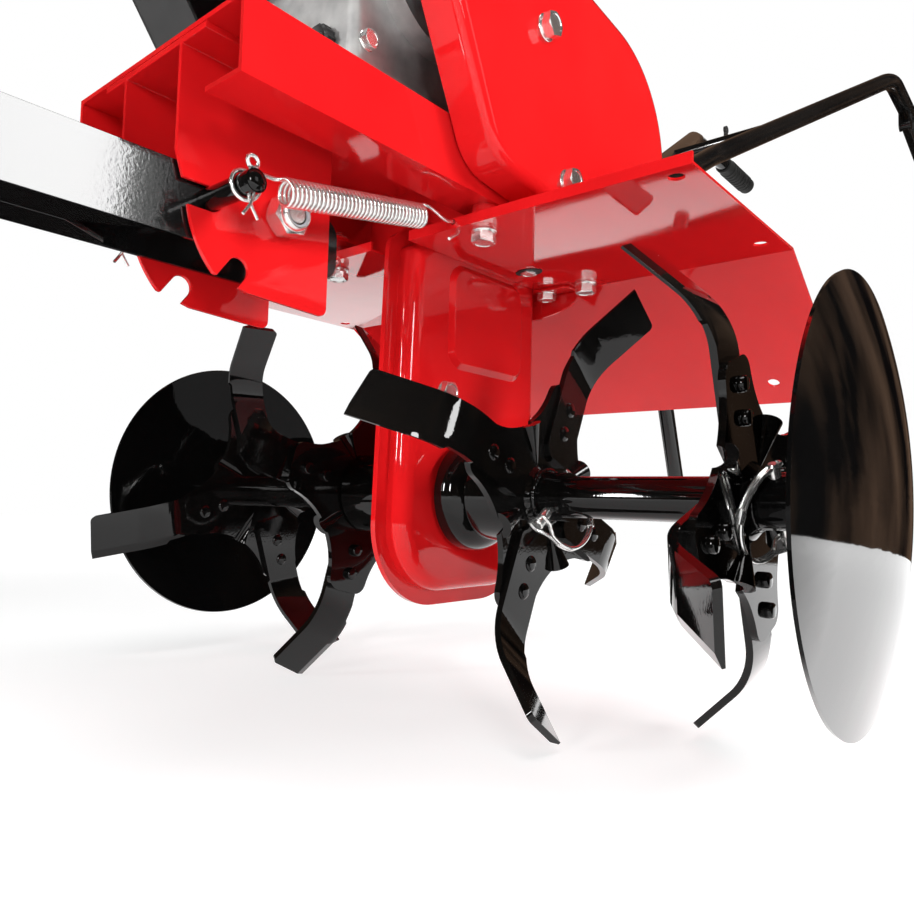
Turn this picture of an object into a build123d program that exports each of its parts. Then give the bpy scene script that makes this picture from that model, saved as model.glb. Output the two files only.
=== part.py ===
from build123d import *
import os
from math import asin, atan2, cos, degrees, hypot, pi, radians, sin, sqrt

# Petrol garden tiller: chain-driven tines, belt clutch, front transport wheel on a latched arm.
# Millimetres. +Z is up, forward is -Y, the machine's left side is +X.
# Positions named below are (y, z) or (x, y, z) from the tine axle, which AXLE_Y and AXLE_Z place.

os.makedirs("parts", exist_ok=True)

# General sheet, gaps and fasteners
SHEET = 2.5
PLATE = 3.0
SLIP_GAP = 0.1
RUN_GAP = 0.05
BODY_GAP = 0.4
BOLT_R = 5.0
BOLT_CLEAR = 0.3
WASHER_T = 1.6

# Tine rotor
TINE_DIA = 360.0
SHAFT_R = 12.5
TUBE_R = 16.0
COLLAR_R = 19.0
STAR_T = 5.0
STAR_ARM = 95.0
STAR_ARM_W = 44.0
STAR_TIP_CORNER = 12.0
STAR_WAIST = 60.0
INNER_STAR_X = 97.5
OUTER_STAR_X = 262.5
DART_ROOT = 22.0
DART_END = 60.0
DART_R = 10.0
DART_WALL = 2.0
BOSS_R = 26.0
BOSS_H = 5.0
BLADE_T = 5.0
BLADE_W = 40.0
BLADE_ROOT = 31.0
BLADE_ROOT_CORNER = 7.0
BLADE_BEND_R = 55.0
BLADE_BEND = 45.0
BLADE_TIP = 45.0
BLADE_TIP_CORNER = 5.0
BLADE_SLANT = 13.0
EDGE_START = 120.0
EDGE_STEP = 3.0
EDGE_W = 8.0
EDGE_DEPTH = 3.2
RIVET_R = 4.0
RIVET_HEAD_R = 6.0
RIVET_HEAD_H = 2.0
RIVET_TAIL_R = 5.6
RIVET_TAIL_H = 5.0
RIVET_PLACES = (56.0, 78.0)
DRUM_R = 36.5
DRUM_FLANGE_R = 46.0
DRUM_X = 28.0
DRUM_SHOULDER = 24.0
SHOULDER_MID = (0.72, 0.62)
PIN_R = 4.0
PIN_WIRE_R = 1.7
PIN_PROUD = 9.0
PIN_HEAD_H = 3.0
BAIL_LEAN = 25.0
INNER_PIN_X = 116.0
INNER_SOCKET = 12.0
DRUM_WALL = 3.0
INNER_PIN_ANGLE = -40.0
DISC_PIN_X = 284.0
DISC_PIN_ANGLE = -124.0
DISC_RIM_X = 332.0
DISC_R = 138.5
DISC_DISH = 20.0
DISC_T = 2.5
# Angle of each rotor's first blade, from forward towards up, and whether that blade bends towards the case
PHASES = {"inner_left": 23.0, "outer_left": 70.0, "inner_right": 15.0, "outer_right": -17.0}
FIRST_INWARD = {"inner_left": True, "outer_left": True, "inner_right": True, "outer_right": False}

# Chain case and drive
CASE_FRONT = -88.0
CASE_NECK_FRONT = -80.0
CASE_NECK_Z = 207.0
CASE_TOP_FRONT = -8.0
CASE_SHOULDER_Z = 256.0
CASE_REAR = 119.0
CASE_BOTTOM = -94.0
CASE_TOP = 365.0
CASE_CORNER = 70.0
CASE_TOP_CORNER = 30.0
CASE_RIM = 12.0
CASE_DEPTH = 21.0
CASE_EDGE = 13.0
INPUT_Y = 57.0
INPUT_Z = 310.0
INPUT_R = 10.0
BEARING_X = 8.0
AXLE_BEARING_R = 26.0
AXLE_BEARING_W = 15.0
INPUT_BEARING_R = 23.5
INPUT_BEARING_W = 14.0
HOUSING_WALL = 6.0
CASE_PLUG = (-28.0, 85.0)
PAD_AT = (27.0, 152.5)
PAD_SIZE = (106.0, 91.0)
PAD_CORNER = 18.0
PAD_H = 3.5
PAD_SLOPE = 55.0
PAD_EDGE = 2.5
SEAL_W = 3.0
SEAL_RING = 4.4
CHAIN_PITCH = 15.875
DRIVEN_TEETH = 18
DRIVE_TEETH = 6
ROLLER_R = 4.5
SPROCKET_T = 7.0
CHAIN_PLATE_T = 1.5
CHAIN_PLATE_H = 7.4

# Belt drive
CRANK_Y = -115.0
CRANK_Z = 371.0
PULLEY_X = 106.0
PULLEY_W = 18.0
ENGINE_PULLEY_R = 35.0
DRIVEN_PULLEY_R = 80.0
BELT_W = 12.0
BELT_H = 9.0
IDLER_R = 20.0
IDLER_LIFT = 11.7
IDLER_PIVOT = (-18.0, 241.0)
IDLER_ARM_T = 4.0
COVER_STUD = (-51.0, 348.0)
COVER_X = 98.5
COVER_OUT_X = 130.0
COVER_ROOM = 18.0
COVER_EDGE = 8.0
BELT_PROUD = 0.5
CRANK_R = 9.0
CRANK_IN_X = 45.0
IDLER_PIN_R = 6.0
IDLER_ARM_W = 20.0
IDLER_EDGE = 1.5
GROOVE_ROOM = 1.5
GROOVE_FLARE = 0.8
PULLEY_HOLES = 5
PULLEY_HOLE_R = 13.0

# Fenders and chassis
FENDER_Z = 201.0
FENDER_T = 2.0
FENDER_FRONT = -78.0
FENDER_CREASE = 117.0
FENDER_LIP = 8.0
FENDER_KNEE = (238.0, 126.0)
FENDER_END = (279.0, 101.0)
FENDER_IN_X = 21.6
FENDER_OUT_X = 257.0
FENDER_BOLTS = ((84.0, -60.0), (76.0, 104.0))
FREE_HOLE_R = 5.5
FREE_HOLE_X = 241.0
FREE_HOLE_Y = (-65.0, 89.0)
STRIP_HOLE_X = 199.0
STRIP_HOLE_AT = 16.3
RAIL_X = 97.0
RAIL_BOTTOM = 219.0
DECK_Z = 265.0
CHASSIS_FRONT = -286.0
CHASSIS_REAR = 190.0
ENGINE_DECK_REAR = -14.0
REAR_DECK_FRONT = 128.0
RAIL_FLANGE = 35.0

# Front wheel bracket, arm, latch and springs
PIVOT = (-211.0, 175.0)
PIVOT_R = 8.0
BRACKET_X = 31.5
BRACKET_T = 3.0
BRACKET_PLATE = 4.0
LATCH = (-262.0, 172.0)
LATCH_R = 7.0
LATCH_HALF = 80.0
COTTER_R = 1.6
LOWER_NOTCH_TURN = 50.0
SECTOR_R = 67.0
SECTOR_START = 190.0
SECTOR_END = 225.0
BRACKET_REAR = -170.0
BRACKET_BOTTOM = 118.0
ARM_PULL = 32.0
ARM_X = 30.0
ARM_T = 3.0
ARM_BOTTOM = 146.0
ARM_TOP = 190.0
WEB_REAR = -300.0
WEB_SPLIT = -331.0
SEAM_GAP = 0.5
WHEEL_Y = -501.0
WHEEL_Z = 168.0
WHEEL_R = 120.0
WHEEL_W = 46.0
RIM_R = 66.0
WHEEL_AXLE_R = 6.0
SPRING_X = 68.0
SPRING_R = 7.8
SPRING_WIRE_R = 1.3
SPRING_TURNS = 36
SPRING_PITCH = 3.4
SPRING_HOLE_R = 2.2
BRACKET_LEDGE = 28.0
BRACKET_NOSE = 8.0
BRACKET_CORNER = 6.0
PIVOT_WASHER_T = 2.5
PIVOT_HEX_R = 12.0
PIVOT_HEX_H = 11.2
PIVOT_COLLAR_R = 10.4
PIVOT_COLLAR_H = 5.0
ARM_NOSE = 24.0
ARM_NOSE_CORNER = 20.0
ARM_TAIL = 20.0
ARM_TAIL_CORNER = 14.0
COTTER_IN = 4.5
WHEEL_HUB_WALL = 8.0
WHEEL_HOLES = 5
WHEEL_HOLE_R = 11.0

# Drag bar and handle
DRAG_R = 10.0
DRAG_TOP = 330.0
DRAG_END = 0.0
DRAG_Y = 441.0
DRAG_AT_Z = 123.0
DRAG_LEAN = 20.0
DRAG_SOCKET_Z = (205.0, 262.0)
DRAG_SOCKET_R = 15.0
HITCH_W = 30.0
HITCH_Z = (222.0, 245.0)
CLAMP_LENGTH = 34.0
CLAMP_BAR = 60.0
CLAMP_BAR_R = 4.0
HANDLE_PIVOT = (215.0, 305.0)
HANDLE_PIVOT_R = 6.0
EAR_X = 45.0
BAR_R = 13.0
BAR_WALL = 2.0
BAR_ROUTE = ((27.0, 196.0, 294.0), (45.0, 480.0, 470.0), (175.0, 930.0, 735.0), (175.0, 1220.0, 735.0))
BAR_BEND_R = 110.0
GRIP_R = 17.0
GRIP_LENGTH = 140.0
GRIP_CAP = 5.0
CROSSBAR_Y = 640.0
CROSSBAR_R = 9.0
LEVER_PIVOT = (1050.0, 703.0)
LEVER_SWING = 9.0
LEVER_LENGTH = 150.0
LEVER_W = 12.0
LEVER_H = 12.0
LEVER_BOSS = 10.0
LEVER_PIN_R = 4.0
THROTTLE_Y = 1040.0
THROTTLE_LENGTH = 52.0
THROTTLE_T = 6.0
THROTTLE_BOSS = 6.0
THROTTLE_W = 10.0
THROTTLE_KNOB_R = 8.0
EAR_CORNER = 14.0
GRIP_RIBS = 8
GRIP_RIB_PITCH = 13.0
GRIP_RIB_W = 6.0
GRIP_RIB_H = 1.2

# Engine
ENGINE_HALF_X = 70.0
ENGINE_HALF_Y = 70.0
ENGINE_TOP = 440.0
CYLINDER_TILT = 25.0
CYLINDER_R = 44.0
FOOT_T = 12.0
FOOT_LEDGE_X = 8.0
FOOT_LEDGE_Y = 24.0
BLOCK_TOP_EDGE = 20.0
BLOCK_EDGE = 8.0
PTO_R = 55.0
PTO_X = 86.0
FIN_START = 84.0
ENGINE_BOLT_R = 4.0
ENGINE_BOLTS = ((-46.0, -196.0), (46.0, -196.0), (-46.0, -34.0), (46.0, -34.0))
BARREL_END = 172.0
HEAD_END = 218.0
VALVE_END = 246.0
PLUG_ROOM = 24.0
FIN_SIZE = 108.0
FIN_T = 3.0
FIN_PITCH = 11.0
FIN_CORNER = 14.0
HEAD_FINS = 4
HEAD_INSET = 24.0
HEAD_CORNER = 12.0
VALVE_FLANGE = 26.0
VALVE_INSET = 38.0
VALVE_EDGE = 6.0
# Spark plug, as steps of radius and height, with its cap last
PLUG_HEX = (9.0, 8.0)
PLUG_NECK = (5.5, 14.0)
PLUG_CAP = (8.0, 26.0)
PLUG_EDGE = 4.0
SHROUD_R = 98.0
SHROUD_X = 135.0
SHROUD_EDGE = 10.0
RECOIL_X = 168.0
RECOIL_R = 84.0
RECOIL_SLOPE = 16.0
RECOIL_RIM = 13.0
RECOIL_SLOTS = 12
RECOIL_SLOT = (34.0, 6.0)
SNOUT_Y = 88.0
SNOUT_Z = 44.0
SNOUT_R = 52.0
TANK_HALF_X = 105.0
TANK_FRONT = -160.0
TANK_REAR = 45.0
TANK_BOTTOM = 472.0
TANK_TOP = 564.0
TANK_EDGE = 24.0
CAP_R = 30.0
CAP_AT = (-40.0, -60.0)
NECK_R = 25.0
NECK_TOP = 578.0
TANK_SEAM = 517.0
SEAM_PROUD = 4.0
SEAM_INSET = 30.0
TANK_FEET = ((-50.0, -120.0), (-50.0, -75.0), (50.0, -120.0), (50.0, -75.0))
TANK_FOOT_R = 8.0
CAP_TOP = 8.0
CAP_GROOVES = 10
CAP_GROOVE_R = 5.5
CAP_GROOVE_OUT = 3.0
STARTER_ANGLE = 45.0
STARTER_GRIP = 84.0
GRIP_NECK = 12.0
GRIP_NECK_R = 7.0
STARTER_GRIP_W = 20.0
STARTER_GRIP_H = 16.0
STARTER_GRIP_EDGE = 6.0
ROPE_X = 151.0
ROPE_R = 2.0
CARB_X = 112.0
CARB_FLANGE = (24.0, 4.0)
CARB_THROAT_R = 14.0
CARB_HALF_Y = 19.0
CARB_Z = (-20.0, 18.0)
CARB_BOWL = (16.0, 24.0)
INTAKE_R = 12.0
INTAKE_IN = 13.0
CLEANER_CORNER = 14.0
CLEANER_EDGE = 10.0
CLEANER_SEAM = (22.0, 4.0)
CLEANER_LEDGE = 3.0
CLEANER_X = (-132.0, -62.0)
CLEANER_Y = (-346.0, -246.0)
CLEANER_Z = (482.0, 566.0)
MUFFLER_X = (66.0, 136.0)
MUFFLER_Y = (-352.0, -250.0)
MUFFLER_Z = (408.0, 512.0)
MUFFLER_EDGE = 22.0
MUFFLER_PIPE = 14.0
PORT_R = 12.5

# Tine blades about an axle at the origin: a flat bar, bent sideways on a slanted line, with a ground edge
SIDES = (("left", 1), ("right", -1))
ROTORS = ("inner", "outer")
TIP_R = TINE_DIA / 2
LEAD_REACH = sqrt(TIP_R ** 2 - (BLADE_W / 2) ** 2)
TIP_DISTANCE = LEAD_REACH * cos(radians(BLADE_SLANT)) - BLADE_W / 2 * sin(radians(BLADE_SLANT))


def blade(x_middle, phase, bend):
    """One blade at a phase; bend is +1 or -1 for the way its tip leans along X."""
    lean = radians(phase + BLADE_SLANT)
    along = Vector(0, -cos(lean), sin(lean))
    bend_plane = Plane(origin=(x_middle, 0, 0), x_dir=along, z_dir=along.cross(Vector(bend, 0, 0)))
    turn = radians(BLADE_BEND)
    half_t = BLADE_T / 2
    half_w = BLADE_W / 2
    bend_start = TIP_DISTANCE - (BLADE_BEND_R + half_t) * sin(turn) - BLADE_TIP * cos(turn)
    bend_centre = (bend_start, BLADE_BEND_R)
    bar = radians(phase)
    bar_plane = Plane(
        origin=(x_middle - TINE_DIA / 2, 0, 0), x_dir=(0, -cos(bar), sin(bar)), z_dir=(1, 0, 0)
    )
    leading = Axis((0, 0, 0), (0, -sin(bar), -cos(bar)))
    with BuildPart() as one_blade:
        with BuildSketch(bend_plane):
            with BuildLine():
                outer_arc = CenterArc(bend_centre, BLADE_BEND_R + half_t, -90, BLADE_BEND)
                inner_arc = CenterArc(bend_centre, BLADE_BEND_R - half_t, -90, BLADE_BEND)
                outer_tip = outer_arc @ 1 + (outer_arc % 1) * BLADE_TIP
                inner_tip = inner_arc @ 1 + (inner_arc % 1) * BLADE_TIP
                Polyline(outer_arc @ 1, outer_tip, inner_tip, inner_arc @ 1)
                Polyline(outer_arc @ 0, (-BLADE_W, -half_t), (-BLADE_W, half_t), inner_arc @ 0)
            make_face()
        extrude(amount=2 * BLADE_W, both=True)
        with BuildSketch(bar_plane):
            with BuildLine():
                Polyline(
                    (BLADE_ROOT, BLADE_ROOT_CORNER - half_w),
                    (BLADE_ROOT + BLADE_ROOT_CORNER, -half_w),
                    (TINE_DIA, -half_w),
                    (TINE_DIA, half_w),
                    (EDGE_START + EDGE_STEP, half_w),
                    (EDGE_START, half_w - EDGE_STEP),
                    (BLADE_ROOT + BLADE_ROOT_CORNER, half_w - EDGE_STEP),
                    (BLADE_ROOT, half_w - EDGE_STEP - BLADE_ROOT_CORNER),
                    close=True,
                )
            make_face()
        extrude(amount=TINE_DIA, mode=Mode.INTERSECT)
        with BuildSketch(bar_plane):
            with Locations(*[(r, 0) for r in RIVET_PLACES]):
                Circle(RIVET_R + SLIP_GAP)
        extrude(amount=TINE_DIA, mode=Mode.SUBTRACT)
        tip_face = one_blade.faces().sort_by(Axis((0, 0, 0), along))[-1]
        fillet(tip_face.edges().sort_by(leading)[0], BLADE_TIP_CORNER)
        outside = one_blade.faces().filter_by(GeomType.CYLINDER).sort_by(SortBy.RADIUS)[-1]
        chamfer(outside.edges().sort_by(leading)[-1], EDGE_W, EDGE_DEPTH, reference=outside)
    return one_blade.part


def blade_middle(rotor, sign):
    """X of the middle of a rotor's blades: outside the inner star, inside the outer star."""
    if rotor == "inner":
        return sign * (INNER_STAR_X + STAR_T + BLADE_T / 2)
    return sign * (OUTER_STAR_X - BLADE_T / 2)


def blade_set(rotor, side_name, sign):
    """Four blades of one rotor, which bend in and out by turns."""
    key = rotor + "_" + side_name
    first = -sign if FIRST_INWARD[key] else sign
    middle = blade_middle(rotor, sign)
    return [blade(middle, PHASES[key] + 90 * turn, first * (-1) ** turn) for turn in range(4)]


BLADE_SETS = {(rotor, name): blade_set(rotor, name, sign) for rotor in ROTORS for name, sign in SIDES}

# Derived places: the lowest blade tip touches the ground, and the wheel and grips are the ends
LOWEST_TIP = max(-one.bounding_box().min.Z for four in BLADE_SETS.values() for one in four)
FRONT_REACH = WHEEL_R - WHEEL_Y
REAR_REACH = BAR_ROUTE[-1][1] + GRIP_CAP
AXLE_Y = (FRONT_REACH - REAR_REACH) / 2
AXLE_Z = LOWEST_TIP
AXLE = Axis((0, AXLE_Y, AXLE_Z), (1, 0, 0))


def side(x=0.0):
    """Plane facing +X whose own x and y are the machine's y and z from the axle."""
    return Plane(origin=(x, AXLE_Y, AXLE_Z), x_dir=(0, 1, 0), z_dir=(1, 0, 0))


def level(z=0.0):
    """Plane facing up at a height above the axle."""
    return Plane(origin=(0, AXLE_Y, AXLE_Z + z))


def place(x, y, z):
    """Point in the part's frame from a place given from the axle."""
    return Vector(x, AXLE_Y + y, AXLE_Z + z)


def x_bar(start, end, outer, bore=0.0, at=(0.0, 0.0), mode=Mode.ADD):
    """Round bar or ring along X, added to the part being built."""
    with BuildSketch(side(start)) as ring:
        with Locations(at):
            Circle(outer)
            if bore:
                Circle(bore, mode=Mode.SUBTRACT)
    extrude(ring.sketch, amount=end - start, mode=mode)


def x_turned(profile, at=(0.0, 0.0)):
    """Ring turned about an X axis from (x, radius) points, added to the part being built."""
    with BuildSketch(Plane(origin=place(0, *at))) as section:
        with BuildLine():
            Polyline(*profile, close=True)
        make_face()
    revolve(section.sketch, axis=Axis(place(0, *at), (1, 0, 0)))


def slab(x_range, y_range, z_range, mode=Mode.ADD):
    """Flat-sided block between three pairs of limits, added to the part being built."""
    with BuildSketch(level(z_range[0])) as base:
        with Locations((sum(x_range) / 2, sum(y_range) / 2)):
            Rectangle(x_range[1] - x_range[0], y_range[1] - y_range[0])
    extrude(base.sketch, amount=z_range[1] - z_range[0], mode=mode)


def hex_bolt(seat, direction, length, radius=BOLT_R, nut_at=None):
    """Hex bolt whose washer rests at seat, with its shank along direction and an optional nut on it."""
    way = Vector(*direction)
    flats = 1.7 * radius
    with BuildSketch(Plane(origin=seat, z_dir=way)) as shank:
        Circle(radius)
    extrude(shank.sketch, amount=length)
    with BuildSketch(Plane(origin=seat, z_dir=way)) as washer:
        Circle(2 * radius)
    extrude(washer.sketch, amount=-WASHER_T)
    with BuildSketch(Plane(origin=seat - way * WASHER_T, z_dir=way)) as head:
        RegularPolygon(flats, 6, major_radius=False, rotation=30)
    extrude(head.sketch, amount=-1.3 * radius)
    if nut_at is not None:
        with BuildSketch(Plane(origin=seat + way * nut_at, z_dir=way)) as nut:
            RegularPolygon(flats, 6, major_radius=False, rotation=30)
        extrude(nut.sketch, amount=1.6 * radius)


# Chain case: two pressed halves that meet at the seam plane
with BuildSketch(side()) as case_rim:
    with BuildLine():
        FilletPolyline(
            (CASE_FRONT, CASE_BOTTOM),
            (CASE_REAR, CASE_BOTTOM),
            (CASE_REAR, CASE_TOP),
            (CASE_TOP_FRONT, CASE_TOP),
            (CASE_TOP_FRONT, CASE_SHOULDER_Z),
            (CASE_NECK_FRONT, CASE_NECK_Z),
            radius=[CASE_CORNER, CASE_CORNER] + [CASE_TOP_CORNER] * 2 + [20.0, 20.0],
            close=True,
        )
    make_face()

with BuildPart() as case_core:
    with BuildSketch(side(-1)):
        offset(case_rim.sketch_local, amount=-(CASE_RIM + SHEET))
    extrude(amount=CASE_DEPTH - SHEET + 1)
    fillet(case_core.faces().sort_by(Axis.X)[-1].edges(), CASE_EDGE - SHEET)

with BuildPart() as case_half:
    with BuildSketch(side()):
        offset(case_rim.sketch_local, amount=-CASE_RIM)
    extrude(amount=CASE_DEPTH)
    fillet(case_half.faces().sort_by(Axis.X)[-1].edges(), CASE_EDGE)
    with BuildSketch(side()):
        add(case_rim.sketch_local)
    extrude(amount=SHEET)
    add(case_core.part, mode=Mode.SUBTRACT)
    with BuildSketch(side(CASE_DEPTH)):
        with Locations(PAD_AT):
            RectangleRounded(*PAD_SIZE, PAD_CORNER)
    extrude(amount=PAD_H, taper=PAD_SLOPE)
    fillet(case_half.faces().sort_by(Axis.X)[-1].edges(), PAD_EDGE)
    axle_lip = BEARING_X + AXLE_BEARING_W
    x_bar(BEARING_X, axle_lip + 4, AXLE_BEARING_R + HOUSING_WALL)
    x_bar(BEARING_X, axle_lip, AXLE_BEARING_R + 0.02, mode=Mode.SUBTRACT)
    x_bar(axle_lip, axle_lip + 4, SHAFT_R + SEAL_RING + RUN_GAP, mode=Mode.SUBTRACT)
    input_lip = BEARING_X + INPUT_BEARING_W
    input_at = (INPUT_Y, INPUT_Z)
    x_bar(BEARING_X, input_lip + 4, INPUT_BEARING_R + HOUSING_WALL, at=input_at)
    x_bar(BEARING_X, input_lip, INPUT_BEARING_R + 0.02, at=input_at, mode=Mode.SUBTRACT)
    x_bar(input_lip, input_lip + 4, INPUT_R + SEAL_RING + RUN_GAP, at=input_at, mode=Mode.SUBTRACT)

with BuildPart() as chain_case_left:
    add(case_half.part)
    x_bar(0, CASE_DEPTH + 1, BOLT_R + BOLT_CLEAR, at=CASE_PLUG, mode=Mode.SUBTRACT)
chain_case_left.part.label = "chain_case_left"
export_step(chain_case_left.part, "parts/chain_case_left.step")

with BuildPart() as chain_case_right:
    mirror(case_half.part, about=Plane.YZ)
    x_bar(-input_lip - 4, -input_lip - 0.5, INPUT_R + SEAL_RING + RUN_GAP + 1, at=input_at)
chain_case_right.part.label = "chain_case_right"
export_step(chain_case_right.part, "parts/chain_case_right.step")

with BuildPart() as shaft_bearings:
    for start in (BEARING_X, -BEARING_X - AXLE_BEARING_W):
        x_bar(start, start + AXLE_BEARING_W, AXLE_BEARING_R, SHAFT_R + RUN_GAP)
    for start in (BEARING_X, -BEARING_X - INPUT_BEARING_W):
        x_bar(start, start + INPUT_BEARING_W, INPUT_BEARING_R, INPUT_R + RUN_GAP, at=input_at)
shaft_bearings.part.label = "shaft_bearings"
export_step(shaft_bearings.part, "parts/shaft_bearings.step")

with BuildPart() as shaft_seals:
    for start in (axle_lip + 0.5, -axle_lip - 0.5 - SEAL_W):
        x_bar(start, start + SEAL_W, SHAFT_R + SEAL_RING, SHAFT_R + RUN_GAP)
    x_bar(input_lip + 0.5, input_lip + 0.5 + SEAL_W, INPUT_R + SEAL_RING, INPUT_R + RUN_GAP, at=input_at)
shaft_seals.part.label = "shaft_seals"
export_step(shaft_seals.part, "parts/shaft_seals.step")


# Sprockets and chain: the rigid chain runs just outside the tooth tips
def tooth_tip(teeth):
    """Tip radius of a sprocket for the chain's pitch."""
    return CHAIN_PITCH / (2 * sin(radians(180 / teeth)))


def sprocket(teeth, bore, hub_r, at):
    """Toothed wheel with a hub, centred on the seam plane, added to the part being built."""
    tip = tooth_tip(teeth)
    gullet = 0.3 * CHAIN_PITCH
    with BuildSketch(side(-SPROCKET_T / 2)) as wheel:
        with Locations(at):
            Circle(tip)
            with PolarLocations(tip, teeth):
                Circle(gullet, mode=Mode.SUBTRACT)
            Circle(bore, mode=Mode.SUBTRACT)
    extrude(wheel.sketch, amount=SPROCKET_T)
    x_bar(-BEARING_X + BODY_GAP, BEARING_X - BODY_GAP, hub_r, bore, at)


def chain_track(grow):
    """Closed track round both sprockets, grown outwards from the roller centres."""
    with Locations((0, 0)):
        Circle(tooth_tip(DRIVEN_TEETH) + BODY_GAP + ROLLER_R + grow)
    with Locations(input_at):
        Circle(tooth_tip(DRIVE_TEETH) + BODY_GAP + ROLLER_R + grow)
    make_hull()


with BuildPart() as driven_sprocket:
    sprocket(DRIVEN_TEETH, SHAFT_R + SLIP_GAP, SHAFT_R + 7, (0.0, 0.0))
driven_sprocket.part.label = "driven_sprocket"
export_step(driven_sprocket.part, "parts/driven_sprocket.step")

with BuildPart() as drive_sprocket:
    sprocket(DRIVE_TEETH, INPUT_R + SLIP_GAP, INPUT_R + 2.5, input_at)
drive_sprocket.part.label = "drive_sprocket"
export_step(drive_sprocket.part, "parts/drive_sprocket.step")

with BuildSketch(side()) as chain_line:
    chain_track(0)
CHAIN_WIRE = chain_line.sketch.face().outer_wire()
LINKS = 2 * round(CHAIN_WIRE.length / CHAIN_PITCH / 2)

with BuildPart() as drive_chain:
    inner_x = SPROCKET_T / 2 + BODY_GAP
    for start in (inner_x, -inner_x - CHAIN_PLATE_T):
        with BuildSketch(side(start)):
            chain_track(CHAIN_PLATE_H / 2)
            with BuildSketch(mode=Mode.SUBTRACT):
                chain_track(-CHAIN_PLATE_H / 2)
        extrude(amount=CHAIN_PLATE_T)
    for link in range(LINKS):
        centre = CHAIN_WIRE.position_at(link / LINKS)
        with BuildSketch(Plane(origin=centre - Vector(inner_x, 0, 0), z_dir=(1, 0, 0))):
            Circle(ROLLER_R)
        extrude(amount=2 * inner_x)
drive_chain.part.label = "drive_chain"
export_step(drive_chain.part, "parts/drive_chain.step")

# Shafts
DISC_HUB_X = OUTER_STAR_X + STAR_T + RIVET_TAIL_H + 2
PINS = ((INNER_PIN_X, INNER_PIN_ANGLE), (DISC_PIN_X, DISC_PIN_ANGLE))


def radial(angle):
    """Direction away from the axle at an angle from forward towards up."""
    return Vector(0, -cos(radians(angle)), sin(radians(angle)))


def pin_hole(x, angle, reach):
    """Hole for a lock pin across the shaft at x of the part being built."""
    with BuildSketch(Plane(origin=place(x, 0, 0), z_dir=radial(angle))) as hole:
        Circle(PIN_R + SLIP_GAP)
    extrude(hole.sketch, amount=reach, both=True, mode=Mode.SUBTRACT)


with BuildPart() as tine_shaft:
    x_bar(-DISC_RIM_X, DISC_RIM_X, SHAFT_R)
    for pin_x, pin_angle in PINS:
        pin_hole(pin_x, pin_angle, SHAFT_R + 1)
        pin_hole(-pin_x, pin_angle, SHAFT_R + 1)
tine_shaft.part.label = "tine_shaft"
export_step(tine_shaft.part, "parts/tine_shaft.step")

with BuildPart() as input_shaft:
    x_bar(-input_lip + 1, PULLEY_X + PULLEY_W, INPUT_R, at=input_at)
input_shaft.part.label = "input_shaft"
export_step(input_shaft.part, "parts/input_shaft.step")


# Rotors: a tube with its welded star plate, pressed into darts between the arms
def star_point(angle, out, across):
    """Point of a star in its side plane, out along the angle and across it."""
    turn = radians(angle)
    return (-out * cos(turn) + across * sin(turn), out * sin(turn) + across * cos(turn))


def star_plate(x, phase, sign):
    """Four-armed star plate at x, turned to the phase, with darts on its outer face, added to the part."""
    with BuildSketch(side(x)) as outline:
        with BuildLine():
            for turn in range(4):
                start = star_point(phase + 90 * turn, STAR_ARM, STAR_ARM_W / 2)
                end = star_point(phase + 90 * turn + 90, STAR_ARM, -STAR_ARM_W / 2)
                ThreePointArc(start, star_point(phase + 90 * turn + 45, STAR_WAIST, 0), end)
                Line(end, star_point(phase + 90 * turn + 90, STAR_ARM, STAR_ARM_W / 2))
        make_face()
        fillet(outline.vertices(), STAR_TIP_CORNER)
    extrude(outline.sketch, amount=STAR_T)
    faces = sorted((x, x + STAR_T), key=abs)
    for turn in range(4):
        way = radial(phase + 45 + 90 * turn)
        dart(faces[1], sign, way, 0, Mode.ADD)
        dart(faces[0], sign, way, DART_WALL, Mode.SUBTRACT)


def dart(x, sign, way, wall, mode):
    """Half cone that widens outwards on the face at x, or its hollow, one wall smaller."""
    origin = place(x, 0, 0)
    with BuildSketch(Plane(origin=origin, x_dir=way, z_dir=(sign, 0, 0))) as section:
        with BuildLine():
            Polyline(
                (DART_ROOT + 2 * wall, 0), (DART_END + wall, 0), (DART_END + wall, DART_R - wall),
                close=True,
            )
        make_face()
    revolve(section.sketch, axis=Axis(origin, way), revolution_arc=180, mode=mode)


def rivet_holes(x, phase, thickness):
    """Rivet holes of one star cut through a plate at x of the part being built."""
    for turn in range(4):
        angle = radians(phase + 90 * turn)
        with BuildSketch(side(x)) as holes:
            with Locations(*[(-r * cos(angle), r * sin(angle)) for r in RIVET_PLACES]):
                Circle(RIVET_R + SLIP_GAP)
        extrude(holes.sketch, amount=thickness, mode=Mode.SUBTRACT)


def star_start(name, sign):
    """X where the star plate of a rotor begins, on the low side."""
    inner_face = INNER_STAR_X if name == "inner" else OUTER_STAR_X
    return inner_face if sign > 0 else -inner_face - STAR_T


def star_boss(x, sign):
    """Sloping weld boss round the tube on a star's outer face, added to the part being built."""
    top = x + sign * BOSS_H
    x_turned([(x, SHAFT_R), (x, BOSS_R), (top, BOSS_R - BOSS_H), (top, SHAFT_R)])


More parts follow.
